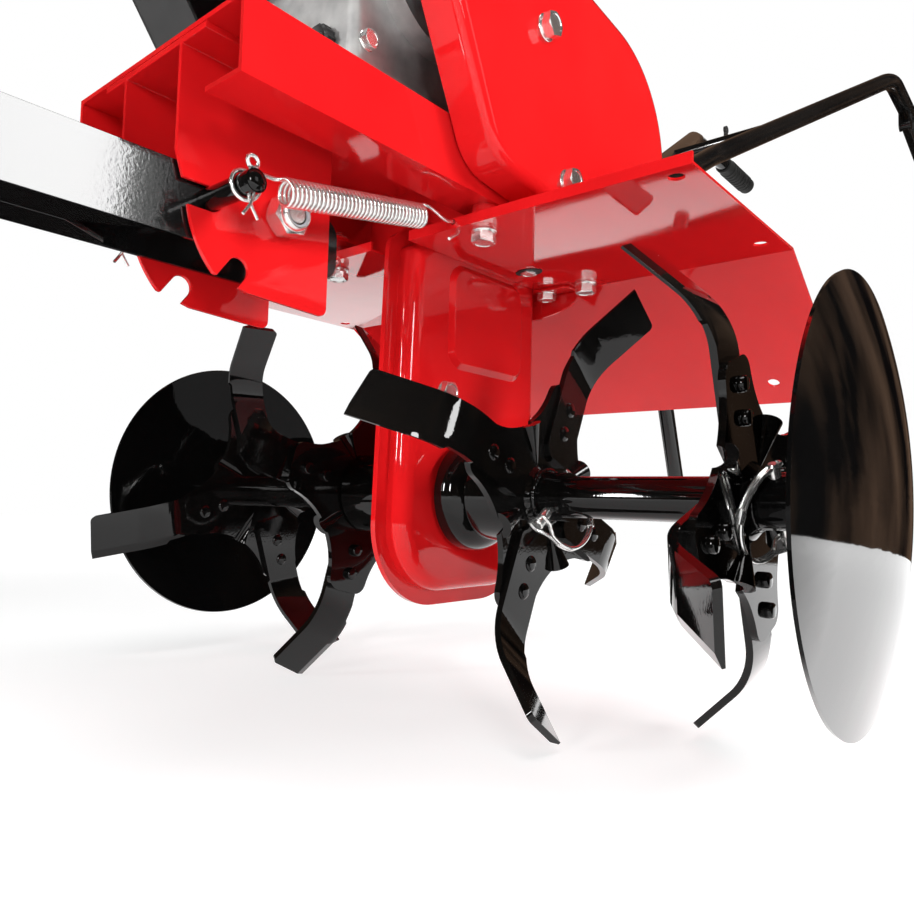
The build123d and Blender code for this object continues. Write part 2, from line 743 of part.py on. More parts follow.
def drum_shoulder(sign):
    """Round shoulder from the drum's flange down to the drum, added to the part being built."""
    start = DRUM_X + 2 * DRUM_WALL - 1
    end = DRUM_X + DRUM_SHOULDER
    rise = DRUM_FLANGE_R - DRUM_R
    with BuildSketch(Plane(origin=place(0, 0, 0))) as section:
        with BuildLine():
            Line((sign * start, DRUM_R - 1), (sign * end, DRUM_R - 1))
            Line((sign * end, DRUM_R - 1), (sign * end, DRUM_R))
            ThreePointArc(
                (sign * end, DRUM_R),
                (sign * (start + SHOULDER_MID[0] * (end - start)), DRUM_R + SHOULDER_MID[1] * rise),
                (sign * start, DRUM_FLANGE_R),
            )
            Line((sign * start, DRUM_FLANGE_R), (sign * start, DRUM_R - 1))
        make_face()
    revolve(section.sketch, axis=AXLE)


INNER_END = INNER_PIN_X + INNER_SOCKET
for side_name, sign in SIDES:
    with BuildPart() as inner_rotor:
        low = star_start("inner", sign)
        star_plate(low, PHASES["inner_" + side_name], sign)
        star_boss(sign * (INNER_STAR_X + STAR_T), sign)
        rivet_holes(low, PHASES["inner_" + side_name], STAR_T)
        bore = SHAFT_R + SLIP_GAP
        x_turned(
            [
                (sign * DRUM_X, bore),
                (sign * DRUM_X, TUBE_R),
                (sign * (INNER_STAR_X - DRUM_WALL - 1), TUBE_R),
                (sign * (INNER_STAR_X - DRUM_WALL - 1), DRUM_R - DRUM_WALL),
                (sign * (DRUM_X + DRUM_WALL), DRUM_R - DRUM_WALL),
                (sign * (DRUM_X + DRUM_WALL), DRUM_FLANGE_R - DRUM_WALL),
                (sign * DRUM_X, DRUM_FLANGE_R - DRUM_WALL),
                (sign * DRUM_X, DRUM_FLANGE_R),
                (sign * (DRUM_X + 2 * DRUM_WALL), DRUM_FLANGE_R),
                (sign * (DRUM_X + 2 * DRUM_WALL), DRUM_R),
                (sign * (INNER_STAR_X - 2), DRUM_R),
                (sign * INNER_STAR_X, DRUM_R - 2),
                (sign * INNER_STAR_X, COLLAR_R),
                (sign * INNER_END, COLLAR_R),
                (sign * INNER_END, bore),
            ]
        )
        drum_shoulder(sign)
        x_bar(-OUTER_STAR_X, OUTER_STAR_X, bore, mode=Mode.SUBTRACT)
        pin_hole(sign * INNER_PIN_X, INNER_PIN_ANGLE, COLLAR_R + 1)
    inner_rotor.part.label = "inner_rotor_" + side_name
    export_step(inner_rotor.part, f"parts/inner_rotor_{side_name}.step")

    with BuildPart() as outer_rotor:
        low = star_start("outer", sign)
        star_plate(low, PHASES["outer_" + side_name], sign)
        star_boss(sign * (OUTER_STAR_X + STAR_T), sign)
        rivet_holes(low, PHASES["outer_" + side_name], STAR_T)
        tube_ends = sorted((sign * INNER_END, sign * DISC_HUB_X))
        x_bar(*tube_ends, TUBE_R)
        x_bar(*tube_ends, bore, mode=Mode.SUBTRACT)
    outer_rotor.part.label = "outer_rotor_" + side_name
    export_step(outer_rotor.part, f"parts/outer_rotor_{side_name}.step")

    with BuildPart() as disc:
        dish_r = (DISC_R ** 2 + DISC_DISH ** 2) / (2 * DISC_DISH)
        dish_x = DISC_RIM_X + DISC_DISH - dish_r
        rim_turn = degrees(asin(DISC_R / dish_r))
        with BuildSketch(level()):
            with BuildLine():
                outer_arc = CenterArc((dish_x, 0), dish_r, 0, rim_turn)
                inner_arc = CenterArc((dish_x, 0), dish_r - DISC_T, 0, rim_turn)
                Line(outer_arc @ 1, inner_arc @ 1)
                Line(outer_arc @ 0, inner_arc @ 0)
            make_face()
        revolve(axis=AXLE)
        x_bar(DISC_HUB_X, DISC_RIM_X + DISC_DISH - 1, COLLAR_R)
        x_bar(DISC_HUB_X, DISC_RIM_X, bore, mode=Mode.SUBTRACT)
        pin_hole(DISC_PIN_X, DISC_PIN_ANGLE, COLLAR_R + 1)
        if sign < 0:
            mirror(about=Plane.YZ, mode=Mode.REPLACE)
    disc.part.label = "disc_" + side_name
    export_step(disc.part, f"parts/disc_{side_name}.step")


# Blades in their places, with their rivets: a low head on the blade and a plain tail on the star
for rotor in ROTORS:
    for side_name, sign in SIDES:
        with BuildPart() as blades:
            with Locations(place(0, 0, 0)):
                add(BLADE_SETS[rotor, side_name])
        blades.part.label = f"{rotor}_blades_{side_name}"
        export_step(blades.part, f"parts/{rotor}_blades_{side_name}.step")

with BuildPart() as blade_rivets:
    for rotor in ROTORS:
        for side_name, sign in SIDES:
            blade_face = blade_middle(rotor, sign)
            star_face = star_start(rotor, sign) + STAR_T / 2
            way = 1 if blade_face > star_face else -1
            blade_face = blade_face + way * BLADE_T / 2
            star_face = star_face - way * STAR_T / 2
            for turn in range(4):
                angle = radians(PHASES[rotor + "_" + side_name] + 90 * turn)
                for r in RIVET_PLACES:
                    at = (-r * cos(angle), r * sin(angle))
                    x_bar(*sorted((star_face, blade_face)), RIVET_R, at=at)
                    with BuildSketch(side(blade_face)):
                        with Locations(at):
                            Circle(RIVET_HEAD_R)
                    extrude(amount=way * RIVET_HEAD_H, taper=30)
                    with BuildSketch(side(star_face)):
                        with Locations(at):
                            Circle(RIVET_TAIL_R)
                    extrude(amount=-way * RIVET_TAIL_H, taper=5)
blade_rivets.part.label = "blade_rivets"
export_step(blade_rivets.part, "parts/blade_rivets.step")

# Lock pins: each has a head and a wire bail that snaps round the tube to its far end
PIN_REACH = COLLAR_R + PIN_PROUD
BAIL_R = PIN_REACH - PIN_HEAD_H
BAIL_SIDES = (-1, 1)
with BuildPart() as rotor_pins:
    for (pin_x, pin_angle), bail_side in zip(PINS, BAIL_SIDES):
        way = radial(pin_angle)
        across = radial(pin_angle + 90 * bail_side)
        for sign in (1, -1):
            middle = place(sign * pin_x, 0, 0)
            lean = -radians(BAIL_LEAN) * sign * bail_side
            with BuildSketch(Plane(origin=middle - way * PIN_REACH, z_dir=way)):
                Circle(PIN_R)
            extrude(amount=2 * PIN_REACH)
            with BuildSketch(Plane(origin=middle + way * PIN_REACH, z_dir=way)):
                Circle(PIN_R + PIN_WIRE_R)
            extrude(amount=PIN_HEAD_H)
            with BuildLine():
                bail = ThreePointArc(
                    middle + way * BAIL_R,
                    middle + (across * cos(lean) + Vector(sin(lean), 0, 0)) * BAIL_R,
                    middle - way * BAIL_R,
                )
            with BuildSketch(Plane(origin=bail @ 0, z_dir=bail % 0)):
                Circle(PIN_WIRE_R)
            sweep(path=bail)
rotor_pins.part.label = "rotor_pins"
export_step(rotor_pins.part, "parts/rotor_pins.step")

# Fenders: folded sheet with a turned-up front lip and a sloping rear
SLOPE = (FENDER_KNEE[1] - FENDER_Z) / (FENDER_KNEE[0] - FENDER_CREASE)
REAR_START = CASE_REAR + 4.0

with BuildPart() as fender_left:
    with BuildSketch(side(FENDER_IN_X)):
        with BuildLine():
            fold = Polyline(
                (FENDER_FRONT, FENDER_Z + FENDER_LIP), (FENDER_FRONT, FENDER_Z), (FENDER_CREASE, FENDER_Z),
                FENDER_KNEE, FENDER_END,
            )
            offset(fold, amount=FENDER_T, side=Side.LEFT, closed=True)
        make_face()
    extrude(amount=FENDER_OUT_X - FENDER_IN_X)
    with BuildSketch(side()):
        with BuildLine():
            rear_fold = Polyline(
                (REAR_START, FENDER_Z + SLOPE * (REAR_START - FENDER_CREASE)), FENDER_KNEE, FENDER_END
            )
            offset(rear_fold, amount=FENDER_T, side=Side.LEFT, closed=True)
        make_face()
    extrude(amount=FENDER_IN_X)
    with BuildSketch(level(FENDER_Z - 1)):
        with Locations(*FENDER_BOLTS):
            Circle(BOLT_R + BOLT_CLEAR)
        with Locations(*[(FREE_HOLE_X, y) for y in FREE_HOLE_Y]):
            Circle(FREE_HOLE_R)
    extrude(amount=2 * FENDER_T, mode=Mode.SUBTRACT)
    strip_way = (Vector(0, *FENDER_END) - Vector(0, *FENDER_KNEE)).normalized()
    strip_hole = place(STRIP_HOLE_X, *FENDER_KNEE) + strip_way * STRIP_HOLE_AT
    with BuildSketch(Plane(origin=strip_hole, x_dir=(1, 0, 0), z_dir=(0, -strip_way.Z, strip_way.Y))):
        Circle(FREE_HOLE_R)
    extrude(amount=2 * FENDER_T, both=True, mode=Mode.SUBTRACT)
    lip_mid = FENDER_Z + FENDER_T + (FENDER_LIP - FENDER_T) / 2
    with BuildSketch(Plane(origin=place(SPRING_X, FENDER_FRONT, lip_mid), z_dir=(0, 1, 0))):
        Circle(SPRING_HOLE_R)
    extrude(amount=2 * FENDER_T, both=True, mode=Mode.SUBTRACT)
fender_left.part.label = "fender_left"
export_step(fender_left.part, "parts/fender_left.step")

with BuildPart() as fender_right:
    mirror(fender_left.part, about=Plane.YZ)
fender_right.part.label = "fender_right"
export_step(fender_right.part, "parts/fender_right.step")

# Drag bar line: it leans rearward going down
LEAN = radians(DRAG_LEAN)
DRAG_WAY = Vector(0, sin(LEAN), -cos(LEAN))
SCREW_WAY = Vector(0, cos(LEAN), sin(LEAN))


def on_drag(z):
    """Point on the drag bar's axis at a height above the axle."""
    return place(0, DRAG_Y + (DRAG_AT_Z - z) * sin(LEAN) / cos(LEAN), z)


SOCKET_MID = on_drag(sum(DRAG_SOCKET_Z) / 2)
SOCKET_LENGTH = (on_drag(DRAG_SOCKET_Z[0]) - on_drag(DRAG_SOCKET_Z[1])).length

# Chassis: two flanged rails under an engine deck and a rear deck, with a welded hitch for the drag bar
FOOT_R = 2 * BOLT_R
RAIL_IN = RAIL_X - PLATE
with BuildPart() as chassis:
    slab((-RAIL_X, RAIL_X), (CHASSIS_FRONT, ENGINE_DECK_REAR), (DECK_Z - PLATE, DECK_Z))
    slab((-RAIL_X, RAIL_X), (REAR_DECK_FRONT, CHASSIS_REAR), (DECK_Z - PLATE, DECK_Z))
    slab((-RAIL_X, RAIL_X), (REAR_DECK_FRONT, REAR_DECK_FRONT + PLATE), (RAIL_BOTTOM, DECK_Z))
    slab((-HITCH_W / 2, HITCH_W / 2), (REAR_DECK_FRONT, SOCKET_MID.Y - AXLE_Y), HITCH_Z)
    with BuildSketch(Plane(origin=on_drag(DRAG_SOCKET_Z[1]), z_dir=DRAG_WAY)):
        Circle(DRAG_SOCKET_R)
    extrude(amount=SOCKET_LENGTH)
    with BuildSketch(Plane(origin=on_drag(DRAG_TOP), z_dir=DRAG_WAY)):
        Circle(DRAG_R + BODY_GAP)
    extrude(amount=DRAG_TOP - DRAG_END, mode=Mode.SUBTRACT)
    with BuildSketch(Plane(origin=SOCKET_MID, z_dir=SCREW_WAY)):
        Circle(BOLT_R + SLIP_GAP)
    extrude(amount=2 * DRAG_SOCKET_R, mode=Mode.SUBTRACT)
    for sign in (1, -1):
        rail = sorted((sign * RAIL_IN, sign * RAIL_X))
        flange = sorted((sign * (RAIL_X - RAIL_FLANGE), sign * RAIL_X))
        slab(rail, (CHASSIS_FRONT, CHASSIS_REAR), (RAIL_BOTTOM, DECK_Z))
        slab(flange, (CHASSIS_FRONT, CHASSIS_REAR), (RAIL_BOTTOM, RAIL_BOTTOM + PLATE))
        with BuildSketch(level(FENDER_Z + FENDER_T)):
            with Locations(*[(sign * x, y) for x, y in FENDER_BOLTS]):
                Circle(FOOT_R)
        extrude(amount=RAIL_BOTTOM - FENDER_Z - FENDER_T)
        with BuildSketch(level(FENDER_Z)):
            with Locations(*[(sign * x, y) for x, y in FENDER_BOLTS]):
                Circle(BOLT_R + BOLT_CLEAR)
        extrude(amount=RAIL_BOTTOM - FENDER_Z + 2 * PLATE, mode=Mode.SUBTRACT)
    with BuildSketch(level(DECK_Z)):
        with Locations(*ENGINE_BOLTS):
            Circle(ENGINE_BOLT_R + BOLT_CLEAR)
    extrude(amount=-2 * PLATE, mode=Mode.SUBTRACT)
    x_bar(RAIL_IN - 1, RAIL_X + 1, BOLT_R + BOLT_CLEAR, at=IDLER_PIVOT, mode=Mode.SUBTRACT)
chassis.part.label = "chassis"
export_step(chassis.part, "parts/chassis.step")

# Front wheel bracket: two sector plates with an upper and a lower latch notch, hung from a top plate
LATCH_REACH = hypot(LATCH[0] - PIVOT[0], LATCH[1] - PIVOT[1])
LOWER_TURN = radians(LOWER_NOTCH_TURN) + atan2(LATCH[1] - PIVOT[1], LATCH[0] - PIVOT[0])
LOWER_NOTCH = (PIVOT[0] + LATCH_REACH * cos(LOWER_TURN), PIVOT[1] + LATCH_REACH * sin(LOWER_TURN))
NOTCH_R = LATCH_R + BODY_GAP
BRACKET_TOP = DECK_Z - PLATE
BRACKET_TIP = PIVOT[0] - SECTOR_R - BRACKET_NOSE


def on_sector(degrees_round):
    """Point on the sector's rim at an angle from the rear, seen from the left."""
    angle = radians(degrees_round)
    return (PIVOT[0] + SECTOR_R * cos(angle), PIVOT[1] + SECTOR_R * sin(angle))


with BuildPart() as wheel_bracket:
    for start in (BRACKET_X, -BRACKET_X - BRACKET_T):
        with BuildSketch(side(start)) as sector:
            with BuildLine():
                sector_mid = (SECTOR_START + SECTOR_END) / 2
                rim = ThreePointArc(on_sector(SECTOR_END), on_sector(sector_mid), on_sector(SECTOR_START))
                Polyline(
                    rim @ 1,
                    (PIVOT[0] - SECTOR_R - BRACKET_T, LATCH[1] + NOTCH_R),
                    (BRACKET_TIP, LATCH[1] + 3 * NOTCH_R),
                    (BRACKET_TIP, BRACKET_TOP),
                    (BRACKET_REAR, BRACKET_TOP),
                    (BRACKET_REAR, BRACKET_BOTTOM),
                    (LOWER_NOTCH[0] + NOTCH_R, BRACKET_BOTTOM + BRACKET_T),
                    rim @ 0,
                )
            make_face()
            fillet(sector.vertices().group_by(Axis.Y)[0], BRACKET_CORNER)
            for at, angle in ((LATCH, 180.0), (LOWER_NOTCH, degrees(LOWER_TURN))):
                with Locations(Location(at + (0,), (0, 0, angle))):
                    Circle(NOTCH_R, mode=Mode.SUBTRACT)
                    with Locations((SECTOR_R / 2, 0)):
                        Rectangle(SECTOR_R, 2 * NOTCH_R, mode=Mode.SUBTRACT)
            with Locations(PIVOT):
                Circle(PIVOT_R + SLIP_GAP, mode=Mode.SUBTRACT)
        extrude(amount=BRACKET_T)
    slab(
        (-BRACKET_X - BRACKET_LEDGE, BRACKET_X + BRACKET_LEDGE),
        (BRACKET_TIP, BRACKET_REAR),
        (BRACKET_TOP - BRACKET_PLATE, BRACKET_TOP),
    )
    with BuildSketch(level(BRACKET_TOP)):
        with Locations(*ENGINE_BOLTS[:2]):
            Circle(ENGINE_BOLT_R + BOLT_CLEAR)
    extrude(amount=-2 * BRACKET_PLATE, mode=Mode.SUBTRACT)
wheel_bracket.part.label = "wheel_bracket"
export_step(wheel_bracket.part, "parts/wheel_bracket.step")

with BuildPart() as pivot_bolt:
    bracket_out = BRACKET_X + BRACKET_T
    x_bar(-bracket_out, bracket_out, PIVOT_R, at=PIVOT)
    for start, way in ((bracket_out, 1), (-bracket_out, -1)):
        x_bar(*sorted((start, start + way * PIVOT_WASHER_T)), 2 * PIVOT_R, at=PIVOT)
        with BuildSketch(side(start + way * PIVOT_WASHER_T)):
            with Locations(PIVOT):
                RegularPolygon(PIVOT_HEX_R, 6, major_radius=False)
        extrude(amount=way * PIVOT_HEX_H)
    nut_end = bracket_out + PIVOT_WASHER_T + PIVOT_HEX_H
    x_bar(bracket_out, nut_end + PIVOT_COLLAR_H, PIVOT_COLLAR_R, at=PIVOT)
pivot_bolt.part.label = "pivot_bolt"
export_step(pivot_bolt.part, "parts/pivot_bolt.step")

# Wheel arm: two cheeks joined by a box section, with a fork for the wheel and a slot at the pivot
ARM_REAR = PIVOT[0] + ARM_PULL + ARM_TAIL
ARM_IN = ARM_X - ARM_T
WEB_FRONT = WHEEL_Y + WHEEL_R + 7.0
with BuildPart() as wheel_arm:
    for start in (ARM_IN, -ARM_X):
        with BuildSketch(side(start)):
            with BuildLine():
                FilletPolyline(
                    (WHEEL_Y - ARM_NOSE, ARM_BOTTOM),
                    (ARM_REAR, ARM_BOTTOM),
                    (ARM_REAR, ARM_TOP),
                    (WHEEL_Y - ARM_NOSE, ARM_TOP),
                    radius=[ARM_NOSE_CORNER, ARM_TAIL_CORNER, ARM_TAIL_CORNER, ARM_NOSE_CORNER],
                    close=True,
                )
            make_face()
            with Locations((PIVOT[0] + ARM_PULL / 2, PIVOT[1])):
                SlotCenterToCenter(ARM_PULL, 2 * (PIVOT_R + BODY_GAP), mode=Mode.SUBTRACT)
            with Locations(LATCH):
                Circle(LATCH_R + SLIP_GAP, mode=Mode.SUBTRACT)
            with Locations((WHEEL_Y, WHEEL_Z)):
                Circle(WHEEL_AXLE_R + SLIP_GAP, mode=Mode.SUBTRACT)
        extrude(amount=ARM_T)
    slab((-ARM_X, ARM_X), (WEB_FRONT, WEB_REAR), (ARM_TOP - ARM_T, ARM_TOP))
    slab((-ARM_X, ARM_X), (WEB_FRONT, WEB_REAR), (ARM_BOTTOM, ARM_BOTTOM + ARM_T))
    with BuildSketch(level(ARM_BOTTOM)):
        with BuildLine():
            Polyline(
                (-SEAM_GAP, WEB_FRONT), (SEAM_GAP, WEB_FRONT), (SEAM_GAP, WEB_SPLIT),
                (ARM_IN - 2 * ARM_T, WEB_REAR), (2 * ARM_T - ARM_IN, WEB_REAR), (-SEAM_GAP, WEB_SPLIT),
                close=True,
            )
        make_face()
    extrude(amount=ARM_T, mode=Mode.SUBTRACT)
wheel_arm.part.label = "wheel_arm"
export_step(wheel_arm.part, "parts/wheel_arm.step")

with BuildPart() as arm_pins:
    x_bar(-LATCH_HALF, LATCH_HALF, LATCH_R, at=LATCH)
    for sign in (1, -1):
        hole_x = sign * (LATCH_HALF - COTTER_IN)
        with BuildSketch(level(LATCH[1] - LATCH_R - 1)):
            with Locations((hole_x, LATCH[0])):
                Circle(COTTER_R + SLIP_GAP)
        extrude(amount=2 * LATCH_R + 2, mode=Mode.SUBTRACT)
    wheel_at = (WHEEL_Y, WHEEL_Z)
    hex_bolt(place(ARM_X, *wheel_at), (-1, 0, 0), 2 * ARM_X + 12, WHEEL_AXLE_R, nut_at=2 * ARM_X)
arm_pins.part.label = "arm_pins"
export_step(arm_pins.part, "parts/arm_pins.step")

# Front wheel
HUB_HALF = ARM_IN - 2.0
with BuildPart() as wheel_rim:
    bore = WHEEL_AXLE_R + SLIP_GAP
    half_w = WHEEL_W / 2 - 3
    hub_r = bore + WHEEL_HUB_WALL
    x_turned(
        [
            (-HUB_HALF, bore), (HUB_HALF, bore), (HUB_HALF, hub_r), (2, hub_r),
            (2, RIM_R - 8), (half_w - 5, RIM_R - 8), (half_w - 3, RIM_R + 3), (half_w, RIM_R + 3),
            (half_w, RIM_R + 5), (half_w - 5, RIM_R + 5), (half_w - 7, RIM_R - 5),
            (7 - half_w, RIM_R - 5), (5 - half_w, RIM_R + 5), (-half_w, RIM_R + 5),
            (-half_w, RIM_R + 3), (3 - half_w, RIM_R + 3), (5 - half_w, RIM_R - 8), (-2, RIM_R - 8),
            (-2, hub_r), (-HUB_HALF, hub_r),
        ],
        wheel_at,
    )
    with BuildSketch(side(-3)):
        with Locations(wheel_at):
            with PolarLocations((RIM_R + bore) / 2, WHEEL_HOLES):
                Circle(WHEEL_HOLE_R)
    extrude(amount=6, mode=Mode.SUBTRACT)
wheel_rim.part.label = "wheel_rim"
export_step(wheel_rim.part, "parts/wheel_rim.step")

with BuildPart() as wheel_tyre:
    seat_r = RIM_R - 5 + SLIP_GAP
    bead = WHEEL_W / 2 - 3 - 7.5
    wide = WHEEL_W / 2
    with BuildSketch(Plane(origin=place(0, *wheel_at))):
        with BuildLine():
            foot = Polyline((-wide + 5, RIM_R + 8), (-bead + 1, RIM_R + 6), (-bead, seat_r), (bead, seat_r),
                            (bead - 1, RIM_R + 6), (wide - 5, RIM_R + 8))
            wall_right = ThreePointArc(foot @ 1, (wide, RIM_R + 26), (wide - 4, WHEEL_R - 12))
            crown = ThreePointArc(wall_right @ 1, (0, WHEEL_R), (4 - wide, WHEEL_R - 12))
            ThreePointArc(crown @ 1, (-wide, RIM_R + 26), foot @ 0)
        make_face()
    revolve(axis=Axis(place(0, *wheel_at), (1, 0, 0)))
wheel_tyre.part.label = "wheel_tyre"
export_step(wheel_tyre.part, "parts/wheel_tyre.step")


# Latch springs: a close coil between a hook on the latch pin and a hook through the fender lip
def biarc(start, start_way, end, end_way):
    """Two tangent arcs from start to end with given directions, added to the line being built."""
    chord = end - start
    both = start_way + end_way
    bend = 2 * (1 - start_way.dot(end_way))
    reach = (sqrt(chord.dot(both) ** 2 + bend * chord.dot(chord)) - chord.dot(both)) / bend
    join = (start + start_way * reach + end - end_way * reach) * 0.5
    first = TangentArc(start, join, tangent=start_way)
    TangentArc(join, end, tangent=first % 1)


def coil_point(turn, axis_start, way, up, out):
    """Point and direction of a helix about a line, after this many turns."""
    angle = radians(360 * turn)
    around = up * cos(angle) + out * sin(angle)
    along = (out * cos(angle) - up * sin(angle)) * (2 * pi * SPRING_R) + way * SPRING_PITCH
    return axis_start + around * SPRING_R + way * (SPRING_PITCH * turn), along.normalized()


def latch_spring(sign):
    """One latch spring as a single swept wire on the side given by sign."""
    pin = place(sign * SPRING_X, *LATCH)
    anchor = place(sign * SPRING_X, FENDER_FRONT, FENDER_Z + FENDER_T + (FENDER_LIP - FENDER_T) / 2)
    way = (anchor - pin).normalized()
    out = Vector(1, 0, 0)
    up = out.cross(way)
    coil_length = SPRING_PITCH * SPRING_TURNS
    axis_start = pin + way * (((anchor - pin).length - coil_length) / 2 - 4)
    first, first_way = coil_point(0, axis_start, way, up, out)
    last, last_way = coil_point(SPRING_TURNS, axis_start, way, up, out)
    hook_r = LATCH_R + SPRING_WIRE_R + BODY_GAP
    with BuildLine() as wire_line:
        hook_end = pin - up * hook_r
        hook_top = pin + up * hook_r
        Line(hook_end + way * 3, hook_end)
        biarc(hook_end, way * -1, hook_top, way)
        lead = Line(hook_top, hook_top + way * 6)
        biarc(lead @ 1, way, first, first_way)
        for half in range(2 * SPRING_TURNS):
            here, here_way = coil_point(half / 2, axis_start, way, up, out)
            there, there_way = coil_point((half + 1) / 2, axis_start, way, up, out)
            biarc(here, here_way, there, there_way)
        biarc(last, last_way, anchor - way * 8, way)
        Line(anchor - way * 8, anchor + way * 6)
    with BuildPart() as spring:
        with BuildSketch(Plane(origin=wire_line.line @ 0, z_dir=wire_line.line % 0)):
            Circle(SPRING_WIRE_R)
        sweep(path=wire_line.line)
    return spring.part, wire_line.line


springs = [latch_spring(sign) for sign in (1, -1)]
with BuildPart() as latch_springs:
    add([spring for spring, line in springs])
latch_springs.part.label = "latch_springs"
export_step(latch_springs.part, "parts/latch_springs.step")


def least_self_gap(line):
    """Least clear gap between turns of the spring, measured on points along the wire."""
    points = [edge @ (step / 4) for edge in line.edges() for step in range(4)]
    skip = 12
    apart = [
        (a - b).length for i, a in enumerate(points) for b in points[i + skip : i + 4 * skip]
    ]
    return min(apart) - 2 * SPRING_WIRE_R


print("least spring gap", round(least_self_gap(springs[0][1]), 2))

# Drag bar and the screw that clamps it in its socket
with BuildPart() as drag_bar:
    with BuildSketch(Plane(origin=on_drag(DRAG_TOP), z_dir=DRAG_WAY)):
        Circle(DRAG_R)
    extrude(amount=(on_drag(DRAG_END) - on_drag(DRAG_TOP)).length)
    chamfer(drag_bar.edges().filter_by(GeomType.CIRCLE), 2.0)
drag_bar.part.label = "drag_bar"
export_step(drag_bar.part, "parts/drag_bar.step")

with BuildPart() as drag_clamp:
    with BuildSketch(Plane(origin=SOCKET_MID + SCREW_WAY * (DRAG_R + BODY_GAP), z_dir=SCREW_WAY)):
        Circle(BOLT_R)
    extrude(amount=CLAMP_LENGTH)
    bar_at = SOCKET_MID + SCREW_WAY * (DRAG_R + CLAMP_LENGTH - CLAMP_BAR_R)
    x_bar(-CLAMP_BAR / 2, CLAMP_BAR / 2, CLAMP_BAR_R, at=(bar_at.Y - AXLE_Y, bar_at.Z - AXLE_Z))
drag_clamp.part.label = "drag_clamp"
export_step(drag_clamp.part, "parts/drag_clamp.step")

# Belt drive
crank_at = (CRANK_Y, CRANK_Z)
belt_mid = PULLEY_X + PULLEY_W / 2
belt_low = belt_mid - BELT_W / 2


def pulley(radius, bore, at):
    """Grooved belt pulley with a hub, added to the part being built."""
    groove = BELT_W / 2 + BODY_GAP
    end = PULLEY_X + PULLEY_W
    root = radius - BELT_H - GROOVE_ROOM
    flare = groove + GROOVE_FLARE
    x_turned(
        [
            (PULLEY_X, bore), (end, bore), (end, radius), (belt_mid + flare, radius),
            (belt_mid + groove, root), (belt_mid - groove, root), (belt_mid - flare, radius),
            (PULLEY_X, radius),
        ],
        at,
    )


with BuildPart() as driven_pulley:
    pulley(DRIVEN_PULLEY_R, INPUT_R + SLIP_GAP, input_at)
    with BuildSketch(side(PULLEY_X)):
        with Locations(input_at):
            with PolarLocations((DRIVEN_PULLEY_R + INPUT_R - BELT_H) / 2, PULLEY_HOLES):
                Circle(PULLEY_HOLE_R)
    extrude(amount=PULLEY_W, mode=Mode.SUBTRACT)
driven_pulley.part.label = "driven_pulley"
export_step(driven_pulley.part, "parts/driven_pulley.step")

with BuildPart() as engine_pulley:
    pulley(ENGINE_PULLEY_R, CRANK_R - 1, crank_at)
    x_bar(CRANK_IN_X, PULLEY_X + PULLEY_W, CRANK_R, at=crank_at)
engine_pulley.part.label = "engine_pulley"
export_step(engine_pulley.part, "parts/engine_pulley.step")


def belt_track(grow):
    """Closed track round both pulleys, grown outwards from their rims."""
    with Locations(crank_at):
        Circle(ENGINE_PULLEY_R + grow)
    with Locations(input_at):
        Circle(DRIVEN_PULLEY_R + grow)
    make_hull()


with BuildPart() as drive_belt:
    with BuildSketch(side(belt_low)):
        belt_track(BELT_PROUD)
        with BuildSketch(mode=Mode.SUBTRACT):
            belt_track(BELT_PROUD - BELT_H)
    extrude(amount=BELT_W)
drive_belt.part.label = "drive_belt"
export_step(drive_belt.part, "parts/drive_belt.step")

# Belt clutch: the idler hangs below the lower run and swings up to it
centres = hypot(INPUT_Y - CRANK_Y, INPUT_Z - CRANK_Z)
run_slope = asin((DRIVEN_PULLEY_R - ENGINE_PULLEY_R) / centres)
run_angle = atan2(INPUT_Z - CRANK_Z, INPUT_Y - CRANK_Y) - run_slope
run_out = (sin(run_angle), -cos(run_angle))
run_mid = (
    (CRANK_Y + INPUT_Y + run_out[0] * (ENGINE_PULLEY_R + DRIVEN_PULLEY_R)) / 2,
    (CRANK_Z + INPUT_Z + run_out[1] * (ENGINE_PULLEY_R + DRIVEN_PULLEY_R)) / 2,
)
idler_off = BELT_PROUD + IDLER_R + BODY_GAP + IDLER_LIFT
idler_at = (run_mid[0] + run_out[0] * idler_off, run_mid[1] + run_out[1] * idler_off)
arm_x = COVER_X + 1.0

with BuildPart() as idler_arm:
    arm_span = (idler_at[0] - IDLER_PIVOT[0], idler_at[1] - IDLER_PIVOT[1])
    with BuildSketch(side(arm_x)):
        middle = ((idler_at[0] + IDLER_PIVOT[0]) / 2, (idler_at[1] + IDLER_PIVOT[1]) / 2)
        with Locations(Location(middle + (0,), (0, 0, degrees(atan2(arm_span[1], arm_span[0]))))):
            SlotCenterToCenter(hypot(*arm_span), IDLER_ARM_W)
        with Locations(IDLER_PIVOT):
            Circle(BOLT_R + SLIP_GAP, mode=Mode.SUBTRACT)
    extrude(amount=IDLER_ARM_T)
    x_bar(arm_x + IDLER_ARM_T, PULLEY_X + PULLEY_W - 1, IDLER_PIN_R, at=idler_at)
idler_arm.part.label = "idler_arm"
export_step(idler_arm.part, "parts/idler_arm.step")

with BuildPart() as idler_pulley:
    bore = IDLER_PIN_R + SLIP_GAP
    left = PULLEY_X + 1
    right = PULLEY_X + PULLEY_W - 1.5
    x_turned(
        [
            (left, bore), (right, bore), (right, IDLER_R - IDLER_EDGE), (right - IDLER_EDGE, IDLER_R),
            (left + IDLER_EDGE, IDLER_R), (left, IDLER_R - IDLER_EDGE),
        ],
        idler_at,
    )
idler_pulley.part.label = "idler_pulley"
export_step(idler_pulley.part, "parts/idler_pulley.step")


def cover_outline(room):
    """Hull round the pulleys and the idler with some room, in the sketch being built."""
    with Locations(crank_at):
        Circle(ENGINE_PULLEY_R + room)
    with Locations(input_at):
        Circle(DRIVEN_PULLEY_R + room)
    with Locations(idler_at):
        Circle(IDLER_R + room)
    make_hull()


